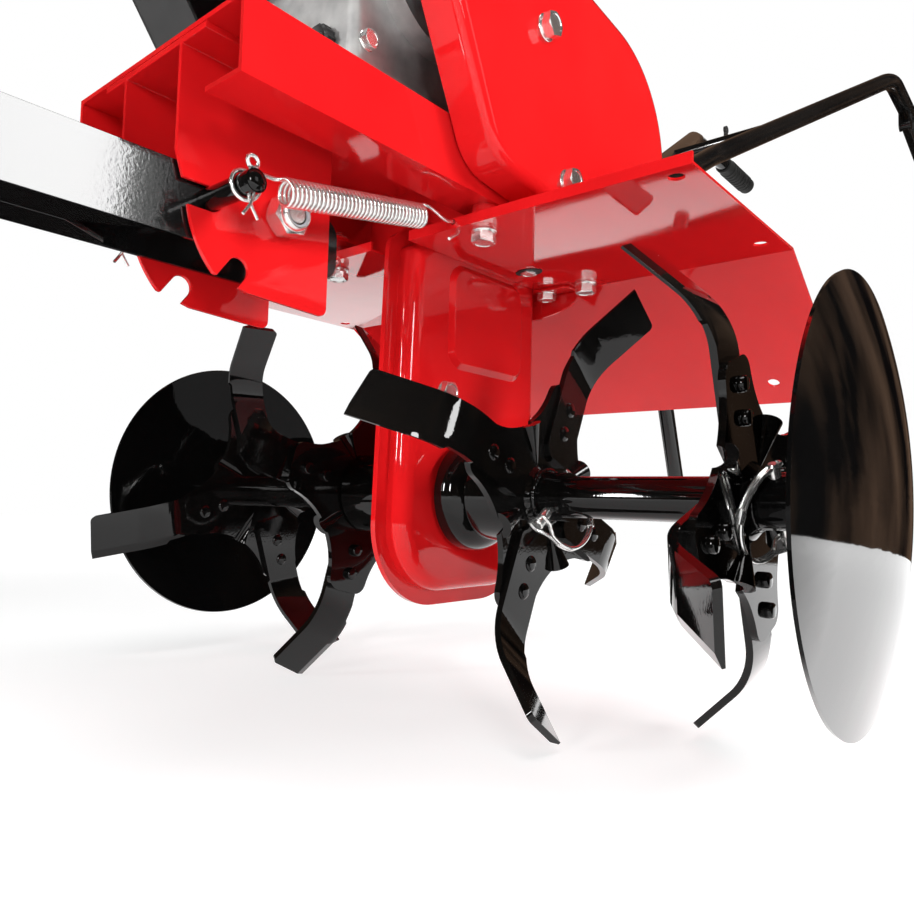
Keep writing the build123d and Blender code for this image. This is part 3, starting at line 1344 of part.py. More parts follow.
COVER_BOLTS = (IDLER_PIVOT, COVER_STUD)
with BuildPart() as cover_core:
    with BuildSketch(side(COVER_X - 1)):
        cover_outline(COVER_ROOM - SHEET)
    extrude(amount=COVER_OUT_X - SHEET - COVER_X + 1)
    fillet(cover_core.faces().sort_by(Axis.X)[-1].edges(), COVER_EDGE - SHEET)

with BuildPart() as belt_cover:
    with BuildSketch(side(COVER_X)):
        cover_outline(COVER_ROOM)
    extrude(amount=COVER_OUT_X - COVER_X)
    fillet(belt_cover.faces().sort_by(Axis.X)[-1].edges(), COVER_EDGE)
    add(cover_core.part, mode=Mode.SUBTRACT)
    with BuildSketch(side(COVER_X)):
        with Locations(*COVER_BOLTS):
            Circle(BOLT_R + BOLT_CLEAR)
    extrude(amount=COVER_OUT_X, mode=Mode.SUBTRACT)
belt_cover.part.label = "belt_cover"
export_step(belt_cover.part, "parts/belt_cover.step")

# Engine: crankcase with a finned barrel that leans forward
PULL = radians(STARTER_ANGLE)
PULL_WAY = Vector(0, cos(PULL), sin(PULL))
TILT = radians(CYLINDER_TILT)
BARREL_WAY = Vector(0, -cos(TILT), sin(TILT))


def barrel_plane(distance):
    """Plane across the cylinder at a distance from the crank axis, with its x along the machine's X."""
    return Plane(origin=place(0, *crank_at) + BARREL_WAY * distance, x_dir=(1, 0, 0), z_dir=BARREL_WAY)


with BuildPart() as engine_block:
    slab(
        (-ENGINE_HALF_X - FOOT_LEDGE_X, ENGINE_HALF_X + FOOT_LEDGE_X),
        (CRANK_Y - ENGINE_HALF_Y - FOOT_LEDGE_Y, CRANK_Y + ENGINE_HALF_Y + FOOT_LEDGE_Y),
        (DECK_Z, DECK_Z + FOOT_T),
    )
    slab(
        (-ENGINE_HALF_X, ENGINE_HALF_X),
        (CRANK_Y - ENGINE_HALF_Y, CRANK_Y + ENGINE_HALF_Y),
        (DECK_Z + FOOT_T, ENGINE_TOP),
    )
    fillet(engine_block.edges().filter_by(Axis.X).group_by(Axis.Z)[-1], BLOCK_TOP_EDGE)
    fillet(engine_block.edges().filter_by(Axis.Z), BLOCK_EDGE)
    x_bar(ENGINE_HALF_X, PTO_X, PTO_R, at=crank_at)
    x_bar(ENGINE_HALF_X, COVER_X, 2 * BOLT_R, at=COVER_STUD)
    x_bar(ENGINE_HALF_X, COVER_X, BOLT_R + BOLT_CLEAR, at=COVER_STUD, mode=Mode.SUBTRACT)
    with BuildSketch(barrel_plane(0)):
        Circle(CYLINDER_R)
    extrude(amount=BARREL_END)
    fin_count = int((BARREL_END - FIN_START) / FIN_PITCH)
    for fin in range(fin_count):
        with BuildSketch(barrel_plane(BARREL_END - fin * FIN_PITCH)):
            RectangleRounded(FIN_SIZE, FIN_SIZE, FIN_CORNER)
        extrude(amount=-FIN_T)
    x_bar(CRANK_IN_X - 1, PTO_X + 1, CRANK_R + RUN_GAP, at=crank_at, mode=Mode.SUBTRACT)
    with BuildSketch(level(DECK_Z)):
        with Locations(*ENGINE_BOLTS):
            Circle(ENGINE_BOLT_R + BOLT_CLEAR)
    extrude(amount=FOOT_T, mode=Mode.SUBTRACT)
engine_block.part.label = "engine_block"
export_step(engine_block.part, "parts/engine_block.step")

with BuildPart() as cylinder_head:
    with BuildSketch(barrel_plane(BARREL_END)):
        RectangleRounded(FIN_SIZE - HEAD_INSET, FIN_SIZE - HEAD_INSET, HEAD_CORNER)
    extrude(amount=HEAD_END - BARREL_END)
    for step in range(HEAD_FINS):
        with BuildSketch(barrel_plane(BARREL_END + step * FIN_PITCH)):
            RectangleRounded(FIN_SIZE, FIN_SIZE, FIN_CORNER)
        extrude(amount=FIN_T)
cylinder_head.part.label = "cylinder_head"
export_step(cylinder_head.part, "parts/cylinder_head.step")

with BuildPart() as valve_cover:
    with BuildSketch(barrel_plane(HEAD_END)):
        with Locations((-PLUG_ROOM / 2, 0)):
            RectangleRounded(FIN_SIZE - VALVE_FLANGE - PLUG_ROOM, FIN_SIZE - VALVE_FLANGE, HEAD_CORNER)
    extrude(amount=SHEET)
    with BuildSketch(barrel_plane(HEAD_END)):
        with Locations((-PLUG_ROOM / 2, 0)):
            RectangleRounded(FIN_SIZE - VALVE_INSET - PLUG_ROOM, FIN_SIZE - VALVE_INSET, HEAD_CORNER)
    extrude(amount=VALVE_END - HEAD_END)
    fillet(valve_cover.faces().sort_by(Axis(place(0, *crank_at), BARREL_WAY))[-1].edges(), VALVE_EDGE)
valve_cover.part.label = "valve_cover"
export_step(valve_cover.part, "parts/valve_cover.step")

with BuildPart() as spark_plug:
    plug_at = (FIN_SIZE - HEAD_INSET - PLUG_ROOM) / 2
    plug_end = HEAD_END
    for polygon_r, height in (PLUG_HEX, PLUG_NECK):
        with BuildSketch(barrel_plane(plug_end)):
            with Locations((plug_at, 0)):
                RegularPolygon(polygon_r, 6)
        extrude(amount=height)
        plug_end = plug_end + height
    with BuildSketch(barrel_plane(plug_end)):
        with Locations((plug_at, 0)):
            Circle(PLUG_CAP[0])
    extrude(amount=PLUG_CAP[1])
    fillet(spark_plug.faces().sort_by(Axis(place(0, *crank_at), BARREL_WAY))[-1].edges(), PLUG_EDGE)
spark_plug.part.label = "spark_plug"
export_step(spark_plug.part, "parts/spark_plug.step")

with BuildPart() as shroud_core:
    with BuildSketch(side(-SHROUD_X + SHEET)):
        with Locations(crank_at):
            Circle(SHROUD_R - SHEET)
        with Locations((CRANK_Y - SNOUT_Y, CRANK_Z + SNOUT_Z)):
            Circle(SNOUT_R - SHEET)
        make_hull()
    extrude(amount=SHROUD_X)
    fillet(shroud_core.faces().sort_by(Axis.X)[0].edges(), SHROUD_EDGE - SHEET)

with BuildPart() as fan_shroud:
    with BuildSketch(side(-SHROUD_X)):
        with Locations(crank_at):
            Circle(SHROUD_R)
        with Locations((CRANK_Y - SNOUT_Y, CRANK_Z + SNOUT_Z)):
            Circle(SNOUT_R)
        make_hull()
    extrude(amount=SHROUD_X - ENGINE_HALF_X)
    fillet(fan_shroud.faces().sort_by(Axis.X)[0].edges(), SHROUD_EDGE)
    add(shroud_core.part, mode=Mode.SUBTRACT)
    slab(
        (-SHROUD_X, 0),
        (CRANK_Y - 2 * SHROUD_R, CRANK_Y + 2 * SHROUD_R),
        (DECK_Z - SHROUD_R, DECK_Z + FOOT_T + 1),
        mode=Mode.SUBTRACT,
    )
    x_bar(-SHROUD_X, -SHROUD_X + SHEET, RECOIL_R - 20, at=crank_at, mode=Mode.SUBTRACT)
fan_shroud.part.label = "fan_shroud"
export_step(fan_shroud.part, "parts/fan_shroud.step")

with BuildPart() as recoil_cover:
    x_turned(
        [
            (-SHROUD_X, RECOIL_R), (RECOIL_RIM - RECOIL_X, RECOIL_R), (-RECOIL_X, RECOIL_R - RECOIL_SLOPE),
            (-RECOIL_X, 0), (SHEET - RECOIL_X, 0), (SHEET - RECOIL_X, RECOIL_R - RECOIL_SLOPE - 1),
            (RECOIL_RIM + 1 - RECOIL_X, RECOIL_R - SHEET), (-SHROUD_X, RECOIL_R - SHEET),
        ],
        crank_at,
    )
    with BuildSketch(side(-RECOIL_X - 1)):
        with Locations(crank_at):
            with PolarLocations(RECOIL_R / 2 + 2, RECOIL_SLOTS):
                SlotOverall(*RECOIL_SLOT)
    extrude(amount=2 * SHEET, mode=Mode.SUBTRACT)
    with BuildSketch(Plane(origin=place(-ROPE_X, *crank_at), z_dir=PULL_WAY)):
        Circle(ROPE_R + 2 * BODY_GAP)
    extrude(amount=2 * RECOIL_R, mode=Mode.SUBTRACT)
recoil_cover.part.label = "recoil_cover"
export_step(recoil_cover.part, "parts/recoil_cover.step")


def pull_plane(distance):
    """Plane across the starter rope at a distance from the crank axis, with its x along the grip."""
    return Plane(
        origin=place(-ROPE_X, *crank_at) + PULL_WAY * distance,
        x_dir=PULL_WAY.cross(Vector(1, 0, 0)),
        z_dir=PULL_WAY,
    )


with BuildPart() as starter_grip:
    grip_low = RECOIL_R + BODY_GAP
    with BuildSketch(pull_plane(grip_low)):
        Circle(GRIP_NECK_R)
    extrude(amount=GRIP_NECK)
    with BuildSketch(pull_plane(grip_low + GRIP_NECK)):
        SlotOverall(STARTER_GRIP, STARTER_GRIP_W)
    extrude(amount=STARTER_GRIP_H)
    fillet(starter_grip.faces().sort_by(Axis(place(0, *crank_at), PULL_WAY))[-1].edges(), STARTER_GRIP_EDGE)
starter_grip.part.label = "starter_grip"
export_step(starter_grip.part, "parts/starter_grip.step")

with BuildPart() as starter_rope:
    with BuildSketch(pull_plane(RECOIL_R / 2)):
        Circle(ROPE_R)
    extrude(amount=grip_low - RECOIL_R / 2)
starter_rope.part.label = "starter_rope"
export_step(starter_rope.part, "parts/starter_rope.step")


# Fuel tank on four feet, with a screwed cap
def z_ring(z_range, outer, bore, at, mode=Mode.ADD):
    """Upright round bar or ring, added to the part being built."""
    with BuildSketch(level(z_range[0])) as ring:
        with Locations(at):
            Circle(outer)
            if bore:
                Circle(bore, mode=Mode.SUBTRACT)
    extrude(ring.sketch, amount=z_range[1] - z_range[0], mode=mode)


with BuildPart() as tank_core:
    slab(
        (SHEET - TANK_HALF_X, TANK_HALF_X - SHEET),
        (TANK_FRONT + SHEET, TANK_REAR - SHEET),
        (TANK_BOTTOM + SHEET, TANK_TOP - SHEET),
    )
    fillet(tank_core.edges(), TANK_EDGE - SHEET)

with BuildPart() as fuel_tank:
    slab((-TANK_HALF_X, TANK_HALF_X), (TANK_FRONT, TANK_REAR), (TANK_BOTTOM, TANK_TOP))
    fillet(fuel_tank.edges(), TANK_EDGE)
    slab(
        (-TANK_HALF_X - SEAM_PROUD, TANK_HALF_X + SEAM_PROUD),
        (TANK_FRONT + SEAM_INSET, TANK_REAR - SEAM_INSET),
        (TANK_SEAM, TANK_SEAM + SHEET),
    )
    slab(
        (-TANK_HALF_X + SEAM_INSET, TANK_HALF_X - SEAM_INSET),
        (TANK_FRONT - SEAM_PROUD, TANK_REAR + SEAM_PROUD),
        (TANK_SEAM, TANK_SEAM + SHEET),
    )
    add(tank_core.part, mode=Mode.SUBTRACT)
    z_ring((TANK_TOP - SHEET, NECK_TOP), NECK_R, 0, CAP_AT)
    z_ring((TANK_TOP - 2 * SHEET, NECK_TOP), NECK_R - SHEET, 0, CAP_AT, mode=Mode.SUBTRACT)
    for foot_at in TANK_FEET:
        z_ring((ENGINE_TOP, TANK_BOTTOM), TANK_FOOT_R, 0, foot_at)
fuel_tank.part.label = "fuel_tank"
export_step(fuel_tank.part, "parts/fuel_tank.step")

with BuildPart() as fuel_cap:
    z_ring((TANK_TOP + BODY_GAP, NECK_TOP + BODY_GAP + CAP_TOP), CAP_R, 0, CAP_AT)
    z_ring((TANK_TOP, NECK_TOP + BODY_GAP), NECK_R + BODY_GAP, 0, CAP_AT, mode=Mode.SUBTRACT)
    with BuildSketch(level(TANK_TOP + BODY_GAP)):
        with Locations(CAP_AT):
            with PolarLocations(CAP_R + CAP_GROOVE_OUT, CAP_GROOVES):
                Circle(CAP_GROOVE_R)
    extrude(amount=NECK_TOP - TANK_TOP + 2 * CAP_TOP, mode=Mode.SUBTRACT)
fuel_cap.part.label = "fuel_cap"
export_step(fuel_cap.part, "parts/fuel_cap.step")

# Intake on the right of the head, silencer on its left
HEAD_MID = barrel_plane((BARREL_END + HEAD_END) / 2).origin
head_at = (HEAD_MID.Y - AXLE_Y, HEAD_MID.Z - AXLE_Z)
head_side = FIN_SIZE / 2
with BuildPart() as carburettor:
    bowl_top = head_at[1] + CARB_Z[0]
    x_bar(-head_side - CARB_FLANGE[1], -head_side, CARB_FLANGE[0], at=head_at)
    x_bar(-CARB_X, -head_side, CARB_THROAT_R, at=head_at)
    slab(
        (6 - CARB_X, -head_side - 12),
        (head_at[0] - CARB_HALF_Y, head_at[0] + CARB_HALF_Y),
        (bowl_top, head_at[1] + CARB_Z[1]),
    )
    z_ring((bowl_top - CARB_BOWL[1], bowl_top), CARB_BOWL[0], 0, (-(CARB_X + head_side + 6) / 2, head_at[0]))
    z_ring((head_at[1], CLEANER_Z[0]), INTAKE_R, 0, (INTAKE_IN - CARB_X, head_at[0]))
carburettor.part.label = "carburettor"
export_step(carburettor.part, "parts/carburettor.step")

with BuildPart() as air_cleaner:
    slab(CLEANER_X, CLEANER_Y, CLEANER_Z)
    fillet(air_cleaner.edges().filter_by(Axis.Z), CLEANER_CORNER)
    fillet(air_cleaner.faces().sort_by(Axis.Z)[-1].edges(), CLEANER_EDGE)
    ledge = 2 * CLEANER_LEDGE
    with BuildSketch(level(CLEANER_Z[0] + CLEANER_SEAM[0])):
        with Locations((sum(CLEANER_X) / 2, sum(CLEANER_Y) / 2)):
            RectangleRounded(
                CLEANER_X[1] - CLEANER_X[0] + ledge,
                CLEANER_Y[1] - CLEANER_Y[0] + ledge,
                CLEANER_CORNER + CLEANER_LEDGE,
            )
    extrude(amount=CLEANER_SEAM[1])
air_cleaner.part.label = "air_cleaner"
export_step(air_cleaner.part, "parts/air_cleaner.step")

with BuildPart() as muffler_core:
    slab(
        (MUFFLER_X[0] + SHEET, MUFFLER_X[1] - SHEET),
        (MUFFLER_Y[0] + SHEET, MUFFLER_Y[1] - SHEET),
        (MUFFLER_Z[0] + SHEET, MUFFLER_Z[1] - SHEET),
    )
    fillet(muffler_core.edges().filter_by(Axis.X), MUFFLER_EDGE - SHEET)

outlet = place(sum(MUFFLER_X) / 2, MUFFLER_Y[0] - MUFFLER_PIPE, sum(MUFFLER_Z) / 2)
with BuildPart() as muffler:
    slab(MUFFLER_X, MUFFLER_Y, MUFFLER_Z)
    fillet(muffler.edges().filter_by(Axis.X), MUFFLER_EDGE)
    x_bar(head_side, MUFFLER_X[0] + SHEET, PORT_R, at=head_at)
    with BuildSketch(Plane(origin=outlet, z_dir=(0, 1, 0))):
        Circle(PORT_R)
    extrude(amount=MUFFLER_PIPE + SHEET)
    add(muffler_core.part, mode=Mode.SUBTRACT)
    x_bar(head_side, MUFFLER_X[0] + SHEET, PORT_R - SHEET, at=head_at, mode=Mode.SUBTRACT)
    with BuildSketch(Plane(origin=outlet, z_dir=(0, 1, 0))):
        Circle(PORT_R - SHEET)
    extrude(amount=MUFFLER_PIPE + SHEET, mode=Mode.SUBTRACT)
muffler.part.label = "muffler"
export_step(muffler.part, "parts/muffler.step")

# Handle: a bracket with two ears, two bent tubes on one pivot bolt, and a cross brace
with BuildPart() as handle_bracket:
    ear_out = EAR_X + PLATE
    slab((-ear_out, ear_out), (REAR_DECK_FRONT + 4, CHASSIS_REAR), (DECK_Z, DECK_Z + PLATE))
    for start in (EAR_X, -ear_out):
        with BuildSketch(side(start)):
            with BuildLine():
                FilletPolyline(
                    (REAR_DECK_FRONT + 4, DECK_Z),
                    (CHASSIS_REAR, DECK_Z),
                    (HANDLE_PIVOT[0] + 20, HANDLE_PIVOT[1] - 24),
                    (HANDLE_PIVOT[0] + 20, HANDLE_PIVOT[1] + 20),
                    (HANDLE_PIVOT[0] - 24, HANDLE_PIVOT[1] + 20),
                    radius=[2.0, EAR_CORNER / 2, EAR_CORNER, EAR_CORNER, 2.0],
                    close=True,
                )
            make_face()
            with Locations(HANDLE_PIVOT):
                Circle(HANDLE_PIVOT_R + BOLT_CLEAR, mode=Mode.SUBTRACT)
        extrude(amount=PLATE)
handle_bracket.part.label = "handle_bracket"
export_step(handle_bracket.part, "parts/handle_bracket.step")


def bar_tube(sign, radius):
    """Solid round bar along a handlebar's route on the side given by sign."""
    with BuildPart() as bar:
        with BuildLine() as route:
            FilletPolyline(*[place(sign * x, y, z) for x, y, z in BAR_ROUTE], radius=BAR_BEND_R)
        with BuildSketch(Plane(origin=route.line @ 0, z_dir=route.line % 0)):
            Circle(radius)
        sweep(path=route.line)
    return bar.part


low_end = BAR_ROUTE[1]
high_end = BAR_ROUTE[2]
brace_share = (CROSSBAR_Y - low_end[1]) / (high_end[1] - low_end[1])
brace_at = (CROSSBAR_Y, low_end[2] + brace_share * (high_end[2] - low_end[2]))
brace_x = low_end[0] + brace_share * (high_end[0] - low_end[0])
bar_bores = {sign: bar_tube(sign, BAR_R - BAR_WALL) for sign in (1, -1)}
bar_solids = {sign: bar_tube(sign, BAR_R) for sign in (1, -1)}
left_room = bar_tube(1, BAR_R + BODY_GAP)
pivot_hole_r = HANDLE_PIVOT_R + SLIP_GAP
grip_x, grip_y, grip_z = BAR_ROUTE[-1]
lever_half = LEVER_W / 2
tab_in = lever_half + BODY_GAP

with BuildPart() as handlebar_left:
    add(bar_solids[1])
    for start in (grip_x + tab_in, grip_x - tab_in - PLATE):
        with BuildSketch(side(start)):
            with Locations((LEVER_PIVOT[0], (LEVER_PIVOT[1] + grip_z) / 2)):
                Rectangle(2 * LEVER_BOSS, grip_z - LEVER_PIVOT[1])
            with Locations(LEVER_PIVOT):
                Circle(LEVER_BOSS)
        extrude(amount=PLATE)
    x_bar(grip_x - tab_in - PLATE, grip_x + tab_in + PLATE, LEVER_PIN_R, at=LEVER_PIVOT)
    add(bar_bores[1], mode=Mode.SUBTRACT)
    x_bar(0, 3 * EAR_X, pivot_hole_r, at=HANDLE_PIVOT, mode=Mode.SUBTRACT)
handlebar_left.part.label = "handlebar_left"
export_step(handlebar_left.part, "parts/handlebar_left.step")

with BuildPart() as handlebar_right:
    x_bar(-brace_x, brace_x, CROSSBAR_R, at=brace_at)
    add(left_room, mode=Mode.SUBTRACT)
    add(bar_solids[-1])
    x_bar(-grip_x, -grip_x + BAR_R + THROTTLE_BOSS, BAR_R - 2, at=(THROTTLE_Y, grip_z))
    x_bar(-grip_x, -grip_x + BAR_R + THROTTLE_BOSS + THROTTLE_T + 3, LEVER_PIN_R, at=(THROTTLE_Y, grip_z))
    add(bar_bores[-1], mode=Mode.SUBTRACT)
    x_bar(-3 * EAR_X, 0, pivot_hole_r, at=HANDLE_PIVOT, mode=Mode.SUBTRACT)
handlebar_right.part.label = "handlebar_right"
export_step(handlebar_right.part, "parts/handlebar_right.step")

with BuildPart() as hand_grips:
    for sign in (1, -1):
        with BuildSketch(Plane(origin=place(sign * grip_x, grip_y + GRIP_CAP, grip_z), z_dir=(0, -1, 0))):
            Circle(GRIP_R)
        extrude(amount=GRIP_LENGTH)
        for rib in range(GRIP_RIBS):
            rib_y = grip_y - GRIP_RIB_PITCH * (rib + 1)
            with BuildSketch(Plane(origin=place(sign * grip_x, rib_y, grip_z), z_dir=(0, -1, 0))):
                Circle(GRIP_R + GRIP_RIB_H)
            extrude(amount=GRIP_RIB_W)
        with BuildSketch(Plane(origin=place(sign * grip_x, grip_y, grip_z), z_dir=(0, -1, 0))):
            Circle(BAR_R + SLIP_GAP)
        extrude(amount=GRIP_LENGTH, mode=Mode.SUBTRACT)
hand_grips.part.label = "hand_grips"
export_step(hand_grips.part, "parts/hand_grips.step")

with BuildPart() as clutch_lever:
    with BuildSketch(side(grip_x - lever_half)):
        droop = radians(LEVER_SWING)
        reach = (LEVER_LENGTH * cos(droop), -LEVER_LENGTH * sin(droop))
        middle = (LEVER_PIVOT[0] + reach[0] / 2, LEVER_PIVOT[1] + reach[1] / 2)
        with Locations(Location(middle + (0,), (0, 0, -LEVER_SWING))):
            SlotCenterToCenter(LEVER_LENGTH, LEVER_H)
        with Locations(LEVER_PIVOT):
            Circle(LEVER_BOSS - 1)
            Circle(LEVER_PIN_R + SLIP_GAP, mode=Mode.SUBTRACT)
    extrude(amount=LEVER_W)
clutch_lever.part.label = "clutch_lever"
export_step(clutch_lever.part, "parts/clutch_lever.step")

with BuildPart() as throttle_lever:
    throttle_x = -grip_x + BAR_R + THROTTLE_BOSS + BODY_GAP
    with BuildSketch(side(throttle_x)):
        with Locations((THROTTLE_Y, grip_z)):
            Circle(BAR_R)
        with Locations((THROTTLE_Y, grip_z + THROTTLE_LENGTH / 2)):
            SlotCenterToCenter(THROTTLE_LENGTH, THROTTLE_W, rotation=90)
        with Locations((THROTTLE_Y, grip_z + THROTTLE_LENGTH)):
            Circle(THROTTLE_KNOB_R)
        with Locations((THROTTLE_Y, grip_z)):
            Circle(LEVER_PIN_R + SLIP_GAP, mode=Mode.SUBTRACT)
    extrude(amount=THROTTLE_T)
throttle_lever.part.label = "throttle_lever"
export_step(throttle_lever.part, "parts/throttle_lever.step")

# Bolts that hold the fenders, engine, belt cover and handle
with BuildPart() as frame_bolts:
    for sign in (1, -1):
        for x, y in FENDER_BOLTS:
            stack = RAIL_BOTTOM + PLATE - FENDER_Z
            hex_bolt(place(sign * x, y, FENDER_Z), (0, 0, 1), stack + 12, BOLT_R, nut_at=stack)
    for x, y in ENGINE_BOLTS:
        stack = FOOT_T + PLATE
        if (x, y) in ENGINE_BOLTS[:2]:
            stack = stack + BRACKET_PLATE
        hex_bolt(place(x, y, DECK_Z + FOOT_T), (0, 0, -1), stack + 10, ENGINE_BOLT_R, nut_at=stack)
    stack = COVER_OUT_X - RAIL_IN
    hex_bolt(place(COVER_OUT_X, *IDLER_PIVOT), (-1, 0, 0), stack + 10, BOLT_R, nut_at=stack)
    hex_bolt(place(COVER_OUT_X, *COVER_STUD), (-1, 0, 0), COVER_OUT_X - ENGINE_HALF_X, BOLT_R)
    hex_bolt(place(CASE_DEPTH, *CASE_PLUG), (-1, 0, 0), SHEET, BOLT_R)
    stack = 2 * (EAR_X + PLATE)
    hex_bolt(place(EAR_X + PLATE, *HANDLE_PIVOT), (-1, 0, 0), stack + 14, HANDLE_PIVOT_R, nut_at=stack)
frame_bolts.part.label = "frame_bolts"
export_step(frame_bolts.part, "parts/frame_bolts.step")
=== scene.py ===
from math import cos, floor, pi, radians, sin

import bmesh
import bpy
from mathutils import Matrix, Vector


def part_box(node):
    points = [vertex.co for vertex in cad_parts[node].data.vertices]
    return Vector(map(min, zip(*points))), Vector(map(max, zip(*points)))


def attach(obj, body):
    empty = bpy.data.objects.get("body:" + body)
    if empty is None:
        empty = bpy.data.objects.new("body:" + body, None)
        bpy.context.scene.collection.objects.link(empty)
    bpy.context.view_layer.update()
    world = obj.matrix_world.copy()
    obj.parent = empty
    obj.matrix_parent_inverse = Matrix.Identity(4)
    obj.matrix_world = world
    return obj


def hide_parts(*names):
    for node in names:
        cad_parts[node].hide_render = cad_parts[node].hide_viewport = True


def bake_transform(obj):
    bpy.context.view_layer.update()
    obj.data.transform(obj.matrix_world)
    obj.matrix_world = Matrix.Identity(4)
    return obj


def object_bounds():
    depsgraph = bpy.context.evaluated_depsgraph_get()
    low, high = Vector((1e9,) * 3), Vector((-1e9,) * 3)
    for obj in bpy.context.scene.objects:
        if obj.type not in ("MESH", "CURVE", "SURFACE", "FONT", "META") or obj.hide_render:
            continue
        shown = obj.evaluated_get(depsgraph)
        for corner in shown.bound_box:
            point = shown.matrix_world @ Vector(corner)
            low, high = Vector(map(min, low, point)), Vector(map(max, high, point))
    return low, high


# Petrol garden tiller: finishes, fasteners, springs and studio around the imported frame.
# The scene is in metres; places and shapes below are in millimetres from the tine axle.
# +Z is up, forward is -Y, the machine's left side is +X.

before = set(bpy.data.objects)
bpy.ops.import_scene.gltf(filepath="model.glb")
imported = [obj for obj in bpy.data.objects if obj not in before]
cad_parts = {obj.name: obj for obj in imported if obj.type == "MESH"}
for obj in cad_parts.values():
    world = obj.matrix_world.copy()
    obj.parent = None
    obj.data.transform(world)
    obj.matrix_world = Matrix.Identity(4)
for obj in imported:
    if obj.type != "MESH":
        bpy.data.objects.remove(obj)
cad_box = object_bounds()
scene = bpy.context.scene
scene.view_settings.view_transform = "Standard"
MM = 0.001

shaft_low, shaft_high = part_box("tine_shaft")
AXLE = (shaft_low + shaft_high) / 2


def spot(x, y, z):
    """Point in the frame from a place in millimetres from the tine axle."""
    return AXLE + Vector((x, y, z)) * MM


# Studio: a white floor in a dark room that only reflections see, lit by soft boxes and narrow strips
FLOOR_X = (-5.0, 5.0)
FLOOR_Y = (-5.0, 2.6)
ROOM_TOP = 3.2
ROOM_WALLS = (
    (2.8, -3.4), (2.8, 1.2), (0.15, 2.4), (0.05, 0.90), (-3.4, 1.64), (-3.4, -3.4), (2.8, -3.4),
)
ROOM_CEILING = ((-3.4, -3.4), (2.8, -3.4), (2.8, 2.4), (-3.4, 2.4))
# Dark cards on the floor beside and behind the machine: painted shade of the floor, seen only in
# reflections
DARK_CARDS = (
    ((-1.6, -0.5), (-0.45, -0.5), (-0.45, 0.35), (-1.6, 0.35)),
    ((-0.7, 0.42), (0.2, 0.42), (0.2, 0.74), (-0.7, 0.74)),
)
ROOM_DARK = (0.004, 0.003, 0.003)
ROOM_BROWN = (0.14, 0.085, 0.055)
CARD_BROWN = (0.01, 0.009, 0.008)
PATCH_STRETCH = (1.6, 1.6, 0.55)
PATCH_SCALE = 1.7
PATCH_RANGE = (0.42, 0.72)
FLOOR_WHITE = 0.86
FLOOR_GLOW = 0.68
FLOOR_SHADE = 0.46
FLOOR_FADE = (0.9, 2.2)
FLOOR_LIFT = 0.40
FILL_LIGHT = 0.06
LAMP_AIM = (0, 0, 0.08)


def plane_object(name, corners):
    """One quad as a mesh object in the scene."""
    mesh = bpy.data.meshes.new(name)
    mesh.from_pydata(corners, [], [(0, 1, 2, 3)])
    piece = bpy.data.objects.new(name, mesh)
    scene.collection.objects.link(piece)
    return piece


def math_node(tree, operation, first, second):
    """Math node fed by sockets or plain numbers."""
    node = tree.nodes.new("ShaderNodeMath")
    node.operation = operation
    for slot, value in zip(node.inputs, (first, second)):
        if isinstance(value, (int, float)):
            slot.default_value = value
        else:
            tree.links.new(value, slot)
    return node.outputs[0]


def seen_rays(tree):
    """1 for camera, glossy and transmission rays, 0 for the rest."""
    rays = tree.nodes.new("ShaderNodeLightPath").outputs
    seen = math_node(tree, "MAXIMUM", rays["Is Camera Ray"], rays["Is Glossy Ray"])
    return math_node(tree, "MAXIMUM", seen, rays["Is Transmission Ray"])


def blank_material(name):
    """Material with an empty node tree; gives it, its tree and its output node."""
    finish = bpy.data.materials.new(name)
    finish.use_nodes = True
    tree = finish.node_tree
    tree.nodes.clear()
    return finish, tree, tree.nodes.new("ShaderNodeOutputMaterial")


def floor_glow(tree):
    """Glow of the floor where it is seen: weak enough under the machine for a shadow, white further out."""
    place = tree.nodes.new("ShaderNodeNewGeometry")
    away = tree.nodes.new("ShaderNodeVectorMath")
    away.operation = "DISTANCE"
    away.inputs[1].default_value = (AXLE.x, AXLE.y, cad_box[0][2])
    fade = tree.nodes.new("ShaderNodeMapRange")
    fade.interpolation_type = "SMOOTHSTEP"
    fade.inputs["From Min"].default_value = FLOOR_FADE[0]
    fade.inputs["From Max"].default_value = FLOOR_FADE[1]
    fade.inputs["To Min"].default_value = FLOOR_GLOW
    fade.inputs["To Max"].default_value = 1.0
    tree.links.new(place.outputs["Position"], away.inputs[0])
    tree.links.new(away.outputs["Value"], fade.inputs["Value"])
    return fade.outputs["Result"]


def white_floor():
    """Floor finish: white where it is seen, with a soft shadow."""
    finish, tree, out = blank_material("studio_floor")
    paper = tree.nodes.new("ShaderNodeBsdfDiffuse")
    paper.inputs["Color"].default_value = (FLOOR_WHITE, FLOOR_WHITE, FLOOR_WHITE, 1)
    shade = tree.nodes.new("ShaderNodeBsdfDiffuse")
    shade.inputs["Color"].default_value = (FLOOR_SHADE, FLOOR_SHADE, FLOOR_SHADE, 1)
    glow = tree.nodes.new("ShaderNodeEmission")
    glow.inputs["Color"].default_value = (1, 1, 1, 1)
    lift = tree.nodes.new("ShaderNodeEmission")
    lift.inputs["Color"].default_value = (1, 1, 1, 1)
    lift.inputs["Strength"].default_value = FLOOR_LIFT
    both = tree.nodes.new("ShaderNodeAddShader")
    lifted = tree.nodes.new("ShaderNodeAddShader")
    mix = tree.nodes.new("ShaderNodeMixShader")
    tree.links.new(shade.outputs[0], both.inputs[0])
    tree.links.new(floor_glow(tree), glow.inputs["Strength"])
    tree.links.new(glow.outputs[0], both.inputs[1])
    tree.links.new(paper.outputs[0], lifted.inputs[0])
    tree.links.new(lift.outputs[0], lifted.inputs[1])
    tree.links.new(seen_rays(tree), mix.inputs["Fac"])
    tree.links.new(lifted.outputs[0], mix.inputs[1])
    tree.links.new(both.outputs[0], mix.inputs[2])
    tree.links.new(mix.outputs[0], out.inputs["Surface"])
    return finish


